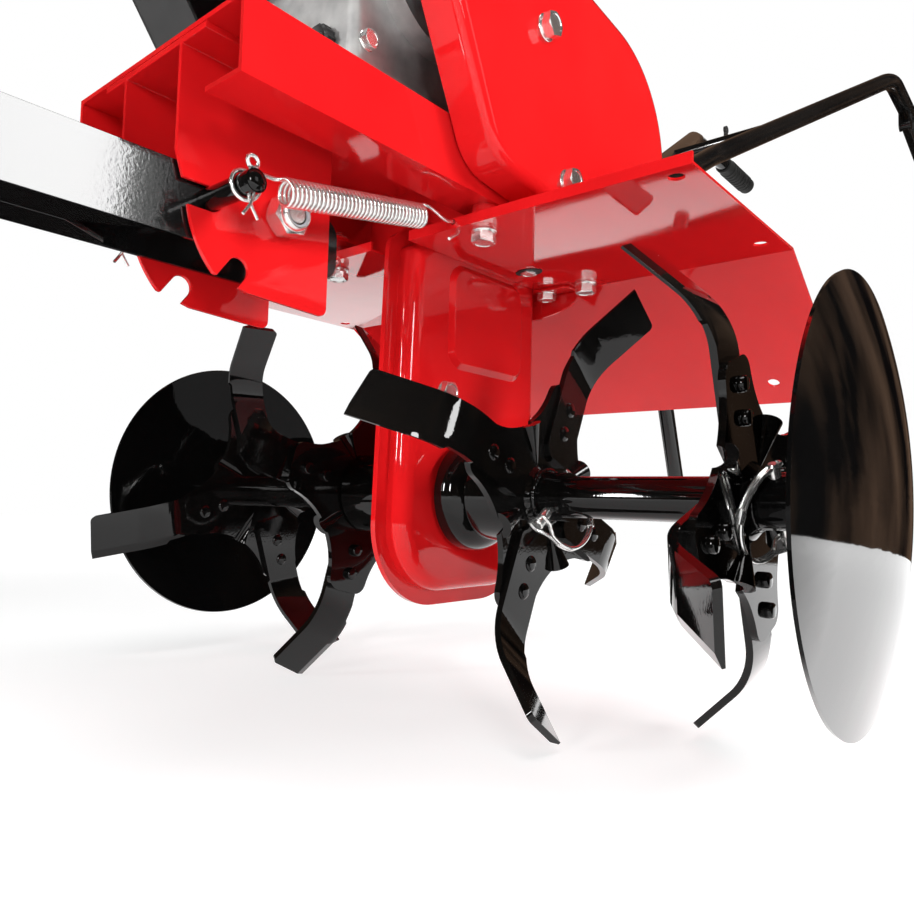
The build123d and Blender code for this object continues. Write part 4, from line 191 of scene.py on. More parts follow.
def dark_room(name, light):
    """Room finish: unlit warm dark brown with soft lighter patches of a given colour."""
    finish, tree, out = blank_material(name)
    coords = tree.nodes.new("ShaderNodeTexCoord")
    stretch = tree.nodes.new("ShaderNodeMapping")
    stretch.inputs["Scale"].default_value = PATCH_STRETCH
    patch = tree.nodes.new("ShaderNodeTexNoise")
    patch.inputs["Scale"].default_value = PATCH_SCALE
    patch.inputs["Detail"].default_value = 3.0
    ramp = tree.nodes.new("ShaderNodeValToRGB")
    for stop, position, colour in zip(ramp.color_ramp.elements, PATCH_RANGE, (ROOM_DARK, light)):
        stop.position = position
        stop.color = (*colour, 1)
    shade = tree.nodes.new("ShaderNodeEmission")
    tree.links.new(coords.outputs["Object"], stretch.inputs["Vector"])
    tree.links.new(stretch.outputs["Vector"], patch.inputs["Vector"])
    tree.links.new(patch.outputs["Fac"], ramp.inputs["Fac"])
    tree.links.new(ramp.outputs["Color"], shade.inputs["Color"])
    tree.links.new(shade.outputs[0], out.inputs["Surface"])
    return finish


def studio_world():
    """Even fill light, with a white surround where the camera and reflections look."""
    world = bpy.data.worlds.new("studio_world")
    world.use_nodes = True
    scene.world = world
    tree = world.node_tree
    tree.nodes.clear()
    out = tree.nodes.new("ShaderNodeOutputWorld")
    fill = tree.nodes.new("ShaderNodeBackground")
    fill.inputs["Color"].default_value = (1, 1, 1, 1)
    fill.inputs["Strength"].default_value = FILL_LIGHT
    white = tree.nodes.new("ShaderNodeBackground")
    white.inputs["Color"].default_value = (1, 1, 1, 1)
    mix = tree.nodes.new("ShaderNodeMixShader")
    tree.links.new(seen_rays(tree), mix.inputs["Fac"])
    tree.links.new(fill.outputs[0], mix.inputs[1])
    tree.links.new(white.outputs[0], mix.inputs[2])
    tree.links.new(mix.outputs[0], out.inputs["Surface"])


def softbox(name, at, size, watts, glossy=True, only=()):
    """Rectangular lamp at a place from the axle, turned to the machine; it may light a few nodes alone."""
    lamp = bpy.data.lights.new(name, "AREA")
    lamp.shape = "RECTANGLE"
    lamp.size = size[0]
    lamp.size_y = size[1]
    lamp.energy = watts
    holder = bpy.data.objects.new(name, lamp)
    scene.collection.objects.link(holder)
    holder.visible_camera = False
    holder.visible_glossy = glossy
    if only:
        lit = bpy.data.collections.new(name)
        for node in only:
            lit.objects.link(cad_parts[node])
        holder.light_linking.receiver_collection = lit
    holder.location = AXLE + Vector(at)
    aim = AXLE + Vector(LAMP_AIM) - holder.location
    holder.rotation_euler = aim.to_track_quat("-Z", "Y").to_euler()


def level(corners, height):
    """Corners given from the axle, at a height in the frame."""
    return [(AXLE.x + x, AXLE.y + y, height) for x, y in corners]


def build_room():
    """Floor, and walls, a ceiling and dark cards on the floor, painted shade that only reflections see."""
    low = cad_box[0][2]
    corners = [(FLOOR_X[i], FLOOR_Y[j]) for i, j in ((0, 0), (1, 0), (1, 1), (0, 1))]
    floor_card = plane_object("floor", level(corners, low))
    floor_card.data.materials.append(white_floor())
    room = dark_room("studio_room", ROOM_BROWN)
    cards = []
    foot = level(ROOM_WALLS, low)
    head = level(ROOM_WALLS, ROOM_TOP)
    for i in range(len(foot) - 1):
        cards.append(plane_object(f"room_wall_{i}", [foot[i], foot[i + 1], head[i + 1], head[i]]))
    cards.append(plane_object("room_ceiling", level(ROOM_CEILING, ROOM_TOP)))
    for card in cards:
        card.data.materials.append(room)
    # Cards of painted shade on the floor, seen only in reflections
    dark = dark_room("studio_card", CARD_BROWN)
    for i, corners in enumerate(DARK_CARDS):
        card = plane_object(f"room_card_{i}", level(corners, low + MM))
        card.data.materials.append(dark)
        cards.append(card)
    for card in cards:
        card.visible_camera = False
        card.visible_diffuse = False
        card.visible_shadow = False


build_room()
studio_world()
# The key lamp lights everything, but is mirrored weakly; only the arm and the tines mirror it in full
GLOSSY_BLACK = (
    "wheel_arm", "inner_blades_left", "inner_blades_right", "outer_blades_left", "outer_blades_right",
    "inner_rotor_left", "inner_rotor_right", "outer_rotor_left", "outer_rotor_right",
)
KEY_AT = (2.6, 0.66, 1.2)
KEY_SIZE = (0.78, 0.95)
softbox("key_left", KEY_AT, KEY_SIZE, 68, glossy=False)
softbox("key_sheen", (2.56, 0.65, 1.18), KEY_SIZE, 3.5)
softbox("black_sheen", (2.52, 0.55, 1.16), (0.60, 0.95), 37, only=GLOSSY_BLACK)
softbox("strip_left", (1.75, -1.35, 0.5), (0.30, 0.55), 14)
softbox("strip_front", (0.35, -2.15, 0.5), (0.12, 0.55), 17)
softbox("strip_right", (-0.9, -2.0, 0.5), (0.16, 0.55), 18)
softbox("box_top", (0.3, -0.5, 2.3), (1.2, 0.8), 20)
softbox("box_back", (0.5, 1.2, 1.8), (1.0, 0.3), 14, glossy=False)

# Camera at the photograph's place
CAMERA_AT = (444.0, -511.5, -6.3)
HEADING = 49.85
PITCH = 3.36
ROLL = 1.56
FOCAL_PX = 770.7
FRAME_PX = 914.0
SENSOR = 36.0


def photo_camera():
    """Camera with the photograph's place, direction and field of view."""
    heading, pitch, roll = radians(HEADING), radians(PITCH), radians(ROLL)
    ahead = Vector((-cos(heading) * cos(pitch), sin(heading) * cos(pitch), sin(pitch)))
    right = ahead.cross(Vector((0, 0, 1))).normalized()
    up = right.cross(ahead)
    turned = right * cos(roll) + up * sin(roll)
    tilted = up * cos(roll) - right * sin(roll)
    lens = bpy.data.cameras.new("photo_camera")
    lens.sensor_width = SENSOR
    lens.lens = FOCAL_PX / FRAME_PX * SENSOR
    lens.clip_start = 0.01
    holder = bpy.data.objects.new("photo_camera", lens)
    scene.collection.objects.link(holder)
    place = Matrix((turned, tilted, -ahead)).transposed().to_4x4()
    place.translation = spot(*CAMERA_AT)
    holder.matrix_world = place
    scene.camera = holder


photo_camera()


# Shared surface effects
def effect_group(name, inputs, outputs):
    """New shader node group with number inputs and outputs; gives its tree, entry and exit nodes."""
    tree = bpy.data.node_groups.new(name, "ShaderNodeTree")
    for label, default in inputs:
        socket = tree.interface.new_socket(name=label, in_out="INPUT", socket_type="NodeSocketFloat")
        socket.default_value = default
    for label in outputs:
        tree.interface.new_socket(name=label, in_out="OUTPUT", socket_type="NodeSocketFloat")
    entry = tree.nodes.new("NodeGroupInput")
    leave = tree.nodes.new("NodeGroupOutput")
    return tree, entry, leave


def noise_node(tree, scale, detail=3.0):
    """Noise on object coordinates at a scale given as a socket or a number."""
    coords = tree.nodes.new("ShaderNodeTexCoord")
    noise = tree.nodes.new("ShaderNodeTexNoise")
    noise.inputs["Detail"].default_value = detail
    tree.links.new(coords.outputs["Object"], noise.inputs["Vector"])
    if isinstance(scale, (int, float)):
        noise.inputs["Scale"].default_value = scale
    else:
        tree.links.new(scale, noise.inputs["Scale"])
    return noise.outputs["Fac"]


def make_paint_flow():
    """Sprayed enamel: slow waves and fine orange peel as a height in millimetres, and an uneven gloss."""
    tree, entry, leave = effect_group(
        "paint_flow",
        [("Wave", 0.1), ("Peel", 0.03), ("Roughness", 0.1), ("Haze", 0.1)],
        ["Height", "Roughness", "Tone"],
    )
    wave = math_node(tree, "MULTIPLY", noise_node(tree, 24.0, 1.0), entry.outputs["Wave"])
    peel = math_node(tree, "MULTIPLY", noise_node(tree, 520.0, 1.5), entry.outputs["Peel"])
    tree.links.new(math_node(tree, "ADD", wave, peel), leave.inputs["Height"])
    patch = noise_node(tree, 14.0, 4.0)
    haze = math_node(tree, "MULTIPLY", patch, entry.outputs["Haze"])
    tree.links.new(math_node(tree, "ADD", haze, entry.outputs["Roughness"]), leave.inputs["Roughness"])
    tree.links.new(patch, leave.inputs["Tone"])
    return tree


def make_metal_grain():
    """Plated, cast or moulded surface: fine grain as a height, cloudy tone and uneven gloss."""
    tree, entry, leave = effect_group(
        "metal_grain",
        [("Grain", 600.0), ("Depth", 0.02), ("Roughness", 0.25), ("Spread", 0.2)],
        ["Height", "Roughness", "Tone"],
    )
    fine = noise_node(tree, entry.outputs["Grain"], 4.0)
    grain = math_node(tree, "MULTIPLY", fine, entry.outputs["Depth"])
    cloud = noise_node(tree, 70.0, 5.0)
    tree.links.new(grain, leave.inputs["Height"])
    spread = math_node(tree, "MULTIPLY", cloud, entry.outputs["Spread"])
    tree.links.new(math_node(tree, "ADD", spread, entry.outputs["Roughness"]), leave.inputs["Roughness"])
    tree.links.new(cloud, leave.inputs["Tone"])
    return tree


PAINT_FLOW = make_paint_flow()
METAL_GRAIN = make_metal_grain()


# Finishes
TONE_RANGE = (0.3, 0.7)


def finish_base(name, group, settings, dark, light):
    """Material whose gloss, tone and relief come from one effect group; gives it and its shader."""
    finish = bpy.data.materials.new(name)
    finish.use_nodes = True
    tree = finish.node_tree
    shader = tree.nodes["Principled BSDF"]
    effect = tree.nodes.new("ShaderNodeGroup")
    effect.node_tree = group
    for label, value in settings.items():
        effect.inputs[label].default_value = value
    tree.links.new(effect.outputs["Roughness"], shader.inputs["Roughness"])
    ramp = tree.nodes.new("ShaderNodeValToRGB")
    for stop, position, colour in zip(ramp.color_ramp.elements, TONE_RANGE, (dark, light)):
        stop.position = position
        stop.color = (*colour, 1)
    tree.links.new(effect.outputs["Tone"], ramp.inputs["Fac"])
    tree.links.new(ramp.outputs["Color"], shader.inputs["Base Color"])
    relief = tree.nodes.new("ShaderNodeBump")
    relief.inputs["Distance"].default_value = MM
    tree.links.new(effect.outputs["Height"], relief.inputs["Height"])
    tree.links.new(relief.outputs["Normal"], shader.inputs["Normal"])
    return finish, shader


def enamel(name, dark, light, settings, gloss, rim=(0.5, 0.85), coat_ior=1.6):
    """Sprayed enamel in one colour, with a lacquer that comes in between two shares of grazing."""
    finish, shader = finish_base(name, PAINT_FLOW, settings, dark, light)
    shader.inputs["Specular IOR Level"].default_value = gloss
    shader.inputs["Coat Roughness"].default_value = 0.03
    shader.inputs["Coat IOR"].default_value = coat_ior
    tree = finish.node_tree
    graze = tree.nodes.new("ShaderNodeLayerWeight")
    share = tree.nodes.new("ShaderNodeMapRange")
    share.inputs["From Min"].default_value = rim[0]
    share.inputs["From Max"].default_value = rim[1]
    tree.links.new(graze.outputs["Facing"], share.inputs["Value"])
    tree.links.new(share.outputs["Result"], shader.inputs["Coat Weight"])
    return finish


def plated(name, dark, light, settings, metal=1.0):
    """Bare, cast or plated metal."""
    finish, shader = finish_base(name, METAL_GRAIN, settings, dark, light)
    shader.inputs["Metallic"].default_value = metal
    return finish


def moulded(name, dark, light, settings):
    """Moulded plastic, rubber, fibre or matt heat paint."""
    return finish_base(name, METAL_GRAIN, settings, dark, light)[0]


RED = enamel("red_enamel", (0.60, 0.008, 0.010), (0.64, 0.010, 0.012),
             {"Wave": 0.10, "Peel": 0.014, "Roughness": 0.012, "Haze": 0.04}, 0.32, (0.5, 0.75), 1.75)
BLACK = enamel("black_enamel", (0.0020, 0.0019, 0.0018), (0.0035, 0.0032, 0.0030),
               {"Wave": 0.10, "Peel": 0.020, "Roughness": 0.012, "Haze": 0.05}, 0.35)
DISC = enamel("disc_enamel", (0.002, 0.002, 0.002), (0.003, 0.003, 0.003),
              {"Wave": 0.08, "Peel": 0.014, "Roughness": 0.01, "Haze": 0.03}, 0.1, (0.40, 0.58), 3.4)
FRAME_BLACK = enamel("frame_black", (0.003, 0.003, 0.003), (0.006, 0.006, 0.006),
                     {"Wave": 0.14, "Peel": 0.030, "Roughness": 0.05, "Haze": 0.08}, 0.5)
ZINC = plated("bright_zinc", (0.82, 0.82, 0.80), (0.93, 0.93, 0.92),
              {"Grain": 900.0, "Depth": 0.012, "Roughness": 0.15, "Spread": 0.16}, 0.93)
STEEL = plated("oiled_steel", (0.28, 0.27, 0.26), (0.46, 0.45, 0.44),
               {"Grain": 700.0, "Depth": 0.02, "Roughness": 0.26, "Spread": 0.2})
ALLOY = plated("cast_alloy", (0.42, 0.42, 0.42), (0.58, 0.58, 0.57),
               {"Grain": 420.0, "Depth": 0.12, "Roughness": 0.42, "Spread": 0.2})
PLASTIC = moulded("black_plastic", (0.010, 0.010, 0.010), (0.018, 0.018, 0.018),
                  {"Grain": 1300.0, "Depth": 0.05, "Roughness": 0.42, "Spread": 0.15})
RUBBER = moulded("black_rubber", (0.010, 0.010, 0.010), (0.020, 0.020, 0.019),
                 {"Grain": 800.0, "Depth": 0.06, "Roughness": 0.62, "Spread": 0.2})
NYLON = moulded("nylon_ring", (0.40, 0.44, 0.48), (0.55, 0.58, 0.60),
                {"Grain": 900.0, "Depth": 0.01, "Roughness": 0.4, "Spread": 0.1})
ROPE = moulded("rope_fibre", (0.50, 0.49, 0.45), (0.72, 0.71, 0.67),
               {"Grain": 1600.0, "Depth": 0.10, "Roughness": 0.75, "Spread": 0.1})
HEAT_BLACK = moulded("heat_paint", (0.018, 0.018, 0.018), (0.04, 0.038, 0.036),
                     {"Grain": 500.0, "Depth": 0.06, "Roughness": 0.55, "Spread": 0.25})

NODE_FINISH = {
    "chain_case_left": RED, "chain_case_right": RED, "fender_left": RED, "fender_right": RED,
    "chassis": RED, "belt_cover": RED, "wheel_bracket": RED, "wheel_rim": RED, "fuel_tank": RED,
    "inner_blades_left": BLACK, "inner_blades_right": BLACK, "outer_blades_left": BLACK,
    "outer_blades_right": BLACK, "inner_rotor_left": BLACK, "inner_rotor_right": BLACK,
    "outer_rotor_left": BLACK, "outer_rotor_right": BLACK, "disc_left": DISC, "disc_right": DISC,
    "arm_pins": BLACK,
    "wheel_arm": FRAME_BLACK, "handle_bracket": FRAME_BLACK, "handlebar_left": FRAME_BLACK,
    "handlebar_right": FRAME_BLACK, "drag_bar": FRAME_BLACK, "idler_arm": FRAME_BLACK,
    "clutch_lever": FRAME_BLACK,
    "drag_clamp": ZINC, "spark_plug": ZINC,
    "tine_shaft": STEEL, "input_shaft": STEEL, "drive_sprocket": STEEL, "driven_sprocket": STEEL,
    "drive_chain": STEEL, "shaft_bearings": STEEL, "engine_pulley": STEEL, "driven_pulley": STEEL,
    "idler_pulley": STEEL,
    "engine_block": ALLOY, "cylinder_head": ALLOY, "carburettor": ALLOY,
    "fan_shroud": PLASTIC, "recoil_cover": PLASTIC, "starter_grip": PLASTIC, "fuel_cap": PLASTIC,
    "air_cleaner": PLASTIC, "throttle_lever": PLASTIC, "valve_cover": PLASTIC,
    "hand_grips": RUBBER, "drive_belt": RUBBER, "shaft_seals": RUBBER,
    "muffler": HEAT_BLACK,
}

for node, finish in NODE_FINISH.items():
    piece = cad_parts[node]
    piece.data.materials.clear()
    piece.data.materials.append(finish)

# Edges of sheet and plate that catch the light, with the width of each rounding
ROUND_EDGES = {
    "fender_left": 0.7, "fender_right": 0.7, "wheel_bracket": 1.0, "wheel_arm": 0.8, "chassis": 0.8,
    "inner_blades_left": 0.8, "inner_blades_right": 0.8, "outer_blades_left": 0.8,
    "outer_blades_right": 0.8, "inner_rotor_left": 0.8, "inner_rotor_right": 0.8,
    "outer_rotor_left": 0.8, "outer_rotor_right": 0.8,
    "disc_left": 0.6, "disc_right": 0.6, "chain_case_left": 0.8, "chain_case_right": 0.8,
    "handle_bracket": 0.7, "belt_cover": 0.7, "fan_shroud": 0.8, "muffler": 0.8, "engine_block": 0.8,
    "cylinder_head": 0.6, "clutch_lever": 1.5, "throttle_lever": 1.2, "arm_pins": 1.2,
}


def round_edges(node, width):
    """Small rounding along the sharp edges of a node, as sheared and painted plate has."""
    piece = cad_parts[node]
    weld = piece.modifiers.new("weld", "WELD")
    weld.merge_threshold = 2e-6
    panel = piece.modifiers.new("panel", "DECIMATE")
    panel.decimate_type = "DISSOLVE"
    panel.angle_limit = radians(0.4)
    edge = piece.modifiers.new("edge", "BEVEL")
    edge.width = width * MM
    edge.segments = 2
    edge.limit_method = "ANGLE"
    edge.angle_limit = radians(25)
    edge.use_clamp_overlap = True
    shade = piece.modifiers.new("shade", "WEIGHTED_NORMAL")
    shade.keep_sharp = True


for node, width in ROUND_EDGES.items():
    round_edges(node, width)


# Shapes in millimetres as (points, faces)
def lathe(profile, sides=32, loop=False):
    """Turned shape about Z from (height, radius) points; a radius of 0 closes it."""
    points = []
    rings = []
    for height, radius in profile:
        count = 1 if radius == 0 else sides
        rings.append([len(points) + i for i in range(count)] * (sides // count))
        for i in range(count):
            angle = 2 * pi * i / sides
            points.append(Vector((radius * cos(angle), radius * sin(angle), height)))
    return points, ring_faces(rings, sides, loop)


def next_ring(points, sides):
    """Numbers that the next points will have as a ring."""
    return list(range(len(points), len(points) + sides))


def ring_faces(rings, sides, loop):
    """Faces between neighbouring rings of points; a ring of one point repeated makes triangles."""
    pairs = list(zip(rings, rings[1:]))
    if loop:
        pairs.append((rings[-1], rings[0]))
    faces = []
    for low, high in pairs:
        for i in range(sides):
            j = (i + 1) % sides
            corners = dict.fromkeys((low[i], low[j], high[j], high[i]))
            if len(corners) > 2:
                faces.append(tuple(corners))
    return faces


def capped_faces(rings, sides):
    """Faces between neighbouring rings, with a flat end at the first and the last."""
    return ring_faces(rings, sides, False) + [tuple(reversed(rings[0])), tuple(rings[-1])]


def tube(path, radius, sides=10, loop=False):
    """Round tube along points, with flat ends; radius is a number or one number for each point."""
    count = len(path)
    sizes = radius if isinstance(radius, list) else [radius] * count
    points = []
    rings = []
    side = None
    for i, here in enumerate(path):
        before = path[i - 1] if loop or i else here
        after = path[(i + 1) % count] if loop or i + 1 < count else here
        way = (after - before).normalized()
        if side is None:
            side = way.orthogonal().normalized()
        side = (side - way * side.dot(way)).normalized()
        other = way.cross(side)
        rings.append(next_ring(points, sides))
        for k in range(sides):
            angle = 2 * pi * k / sides
            points.append(here + (side * cos(angle) + other * sin(angle)) * sizes[i])
    return points, ring_faces(rings, sides, True) if loop else capped_faces(rings, sides)


HEX_SIDES = 48
HEX_SLOPE = 0.5


def hex_column(flat, low, high, under=False):
    """Hexagon about Z with a turned chamfer and a shallow dish on top, and below too if asked."""
    points = []
    rings = []

    def ring(make):
        rings.append(next_ring(points, HEX_SIDES))
        for i in range(HEX_SIDES):
            angle = 2 * pi * i / HEX_SIDES
            corner = flat / cos((angle % (pi / 3)) - pi / 6)
            radius, height = make(corner)
            points.append(Vector((radius * cos(angle), radius * sin(angle), height)))

    ring(lambda corner: (0.7 * flat, low))
    if under:
        ring(lambda corner: (0.95 * flat, low))
        ring(lambda corner: (corner, low + (corner - 0.95 * flat) * HEX_SLOPE))
    else:
        ring(lambda corner: (corner, low))
    ring(lambda corner: (corner, high - (corner - 0.95 * flat) * HEX_SLOPE))
    ring(lambda corner: (0.95 * flat, high))
    ring(lambda corner: (0.8 * flat, high))
    ring(lambda corner: (0.74 * flat, high - 0.06 * flat))
    return points, capped_faces(rings, HEX_SIDES)


def washer(outer, bore, low, high):
    """Flat washer about Z with rounded rims."""
    edge = 0.25 * (high - low)
    return lathe(
        [
            (low, bore), (low, outer - edge), (low + edge, outer),
            (high - edge, outer), (high, outer - edge), (high, bore),
        ],
        loop=True,
    )


def split_washer(outer, bore, low, high):
    """Spring washer about Z: a square ring, cut and sprung a little out of level."""
    middle = (outer + bore) / 2
    half = (outer - bore) / 2
    thick = (high - low) / 2
    steps = 36
    points = []
    rings = []
    for i in range(steps + 1):
        angle = radians(12) + (2 * pi - radians(16)) * i / steps
        rise = 0.35 * (i / steps - 0.5)
        rings.append(next_ring(points, 4))
        for out, up in ((-half, -thick), (half, -thick), (half, thick), (-half, thick)):
            radius = middle + out
            height = (low + high) / 2 + up + rise
            points.append(Vector((radius * cos(angle), radius * sin(angle), height)))
    faces = [tuple(reversed(face)) for face in ring_faces(rings, 4, False)]
    faces.append(tuple(rings[0]))
    faces.append(tuple(reversed(rings[-1])))
    return points, faces


def thread(radius, low, high, pitch):
    """Threaded bolt end about Z as turned ridges with a chamfered point."""
    profile = [(low, 0), (low, radius)]
    turns = int((high - low - pitch) / pitch)
    for turn in range(turns):
        start = low + turn * pitch
        profile.append((start + 0.45 * pitch, 0.9 * radius))
        profile.append((start + 0.55 * pitch, 0.9 * radius))
        profile.append((start + pitch, radius))
    profile += [(high, 0.8 * radius), (high, 0)]
    return lathe(profile, 24)


def moved(shape, at, axis=(0, 0, 1), turn=0.0):
    """Shape with its Z laid along an axis, turned about it by degrees and put at a place."""
    points, faces = shape
    stand = Vector(axis).to_track_quat("Z", "Y").to_matrix() @ Matrix.Rotation(radians(turn), 3, "Z")
    return [stand @ point + Vector(at) for point in points], faces


def joined(shapes):
    """Several shapes as one."""
    points = []
    faces = []
    for some, sides in shapes:
        start = len(points)
        points += some
        faces += [tuple(start + i for i in face) for face in sides]
    return points, faces


def make_mesh(name, shape, finish, sharp=33.0):
    """Object of a shape in the scene, smooth but for its sharp edges, with its finish."""
    points, faces = shape
    mesh = bpy.data.meshes.new(name)
    mesh.from_pydata([spot(*point) for point in points], [], faces)
    mesh.validate()
    shell = bmesh.new()
    shell.from_mesh(mesh)
    bmesh.ops.recalc_face_normals(shell, faces=shell.faces)
    shell.to_mesh(mesh)
    shell.free()
    mesh.shade_smooth()
    mesh.set_sharp_from_angle(angle=radians(sharp))
    mesh.materials.append(finish)
    piece = bpy.data.objects.new(name, mesh)
    scene.collection.objects.link(piece)
    return piece


def add_piece(name, shapes, finish, body, replaced=()):
    """Piece of several shapes that rides on a body and may stand for CAD nodes."""
    piece = make_mesh(name, joined(shapes), finish)
    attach(piece, body)
    if replaced:
        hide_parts(*replaced)
    return piece


def curve(start, start_way, end, end_way, steps):
    """Points of a smooth bend between two ends with given handles, without the first."""
    points = []
    for i in range(1, steps + 1):
        t = i / steps
        a, b, c, d = (1 - t) ** 3, 3 * t * (1 - t) ** 2, 3 * t * t * (1 - t), t ** 3
        points.append(start * a + (start + start_way) * b + (end - end_way) * c + end * d)
    return points


def radial(angle):
    """Direction away from the axle at an angle from forward towards up."""
    return Vector((0, -cos(radians(angle)), sin(radians(angle))))


# Bolts: hex heads on a flat and a spring washer, nuts with a threaded end
WASHER_T = 1.6
BOLT_R = 5.0
ENGINE_BOLT_R = 4.0
HANDLE_BOLT_R = 6.0
SCREW_FLAT = 6.8


def bolt_head(radius, at, axis, turn=0.0, spring=True):
    """Head of a hex bolt with its washers, standing on a seat along an axis."""
    base = WASHER_T
    shapes = [washer(2.0 * radius, 1.02 * radius, 0, WASHER_T)]
    if spring:
        base = WASHER_T + 0.42 * radius
        shapes.append(split_washer(1.62 * radius, 1.05 * radius, WASHER_T, base))
    shapes.append(hex_column(1.7 * radius, base, base + 1.3 * radius))
    return [moved(shape, at, axis, turn) for shape in shapes]


def bolt_nut(radius, at, axis, shown, turn=0.0):
    """Hex nut on a seat along an axis, with the bolt's threaded end standing out of it."""
    height = 1.6 * radius
    shapes = [
        hex_column(1.7 * radius, 0, height, under=True),
        thread(radius, 0.5 * height, height + shown, 0.28 * radius),
    ]
    return [moved(shape, at, axis, turn) for shape in shapes]


def shank(radius, start, end):
    """Plain bolt shank between two points."""
    return tube([Vector(start), Vector(end)], radius, 20)


FENDER_Z = 201.0
RAIL_TOP = 222.0
DECK_Z = 265.0
FENDER_BOLTS = ((84.0, -60.0, 8.0), (76.0, 104.0, 22.0))
ENGINE_BOLTS = ((-46.0, -196.0, 4.0), (46.0, -196.0, 4.0), (-46.0, -34.0, 0.0), (46.0, -34.0, 0.0))
FOOT_TOP = 277.0
COVER_X = 130.0
IDLER_PIVOT = (-18.0, 241.0)
IDLER_IN = 94.0
COVER_STUD = (-51.0, 348.0)
STUD_IN = 70.0
CASE_PLUG = (-28.0, 85.0)
CASE_FACE = 21.0
HANDLE_PIVOT = (215.0, 305.0)
HANDLE_OUT = 48.0
UP = (0, 0, 1)
DOWN = (0, 0, -1)
LEFT = (1, 0, 0)
RIGHT = (-1, 0, 0)

SLOT_AT = (52.6, 45.3)
SLOT_SIZE = (13.0, 9.0)

bolts = []
for sign in (1, -1):
    for x, y, turn in FENDER_BOLTS:
        bolts += bolt_head(BOLT_R, (sign * x, y, FENDER_Z), DOWN, turn)
        bolts += bolt_nut(BOLT_R, (sign * x, y, RAIL_TOP), UP, 4, turn)
        bolts.append(shank(BOLT_R, (sign * x, y, FENDER_Z), (sign * x, y, RAIL_TOP)))
for x, y, extra in ENGINE_BOLTS:
    low = DECK_Z - 3 - extra
    bolts += bolt_head(ENGINE_BOLT_R, (x, y, FOOT_TOP), UP, 15)
    bolts += bolt_nut(ENGINE_BOLT_R, (x, y, low), DOWN, 3, 15)
    bolts.append(shank(ENGINE_BOLT_R, (x, y, low), (x, y, FOOT_TOP)))
bolts += bolt_head(BOLT_R, (COVER_X, *IDLER_PIVOT), LEFT, 10)
bolts += bolt_nut(BOLT_R, (IDLER_IN, *IDLER_PIVOT), RIGHT, 2)
bolts.append(shank(BOLT_R, (IDLER_IN, *IDLER_PIVOT), (COVER_X, *IDLER_PIVOT)))
bolts += bolt_head(BOLT_R, (COVER_X, *COVER_STUD), LEFT, 20)
bolts.append(shank(BOLT_R, (STUD_IN, *COVER_STUD), (COVER_X, *COVER_STUD)))
bolts += bolt_head(BOLT_R, (CASE_FACE, *CASE_PLUG), LEFT, 5, spring=False)
bolts += bolt_head(HANDLE_BOLT_R, (HANDLE_OUT, *HANDLE_PIVOT), LEFT, 10)
bolts += bolt_nut(HANDLE_BOLT_R, (-HANDLE_OUT, *HANDLE_PIVOT), RIGHT, 6)
bolts.append(shank(HANDLE_BOLT_R, (-HANDLE_OUT, *HANDLE_PIVOT), (HANDLE_OUT, *HANDLE_PIVOT)))
for sign in (1, -1):
    screw_at = (sign * SLOT_AT[0], SLOT_AT[1], FENDER_Z - 0.4)
    bolts.append(moved(hex_column(SCREW_FLAT, 0, 2.6), screw_at, DOWN, 12))
add_piece("frame_fasteners", bolts, ZINC, "machine", ["frame_bolts"])

# Dark ovals under the fenders round the slot screws: painted shade in place of the dark inside of slots
# that the fenders lack
shade_ovals = []
for sign in (1, -1):
    points, faces = lathe([(0, 0), (0.5, 0.9), (0.8, 1.0), (-0.6, 1.0), (-0.6, 0)], 48)
    points = [Vector((p.x * SLOT_SIZE[0], p.y * SLOT_SIZE[1], p.z)) for p in points]
    faces = [tuple(reversed(face)) for face in faces]
    shade_ovals.append(moved((points, faces), (sign * SLOT_AT[0], SLOT_AT[1], FENDER_Z), DOWN))
add_piece("slot_shade_ovals", shade_ovals, RUBBER, "machine")

# Pivot bolt of the wheel arm: a nyloc nut on the left, a head on the right
PIVOT = (-211.0, 175.0)
BRACKET_OUT = 34.5
NUT_FLAT = 12.0
NUT_COLLAR = (
    (13.2, 10.9), (14.2, 11.0), (17.2, 10.6), (18.7, 9.6), (18.7, 8.6), (17.4, 8.4), (13.2, 8.4),
)
pivot = [
    moved(washer(11.8, 8.1, 0, 2.5), (BRACKET_OUT, *PIVOT), LEFT),
    moved(hex_column(NUT_FLAT, 1.0, 13.7, under=True), (BRACKET_OUT, *PIVOT), LEFT, 12),
    moved(lathe(NUT_COLLAR, 40, loop=True), (BRACKET_OUT, *PIVOT), LEFT),
    moved(thread(7.6, 12.0, 17.6, 2.0), (BRACKET_OUT, *PIVOT), LEFT),
    moved(washer(16.0, 8.1, 0, 2.5), (-BRACKET_OUT, *PIVOT), RIGHT),
    moved(hex_column(NUT_FLAT, 2.5, 12.5), (-BRACKET_OUT, *PIVOT), RIGHT, 8),
    shank(8.0, (-BRACKET_OUT, *PIVOT), (BRACKET_OUT, *PIVOT)),
]
add_piece("pivot_fastener", pivot, ZINC, "machine", ["pivot_bolt"])
ring = lathe([(17.3, 8.5), (18.4, 8.5), (18.2, 7.4), (17.3, 7.2)], 40, loop=True)
add_piece("pivot_nylon", [moved(ring, (BRACKET_OUT, *PIVOT), LEFT)], NYLON, "machine")

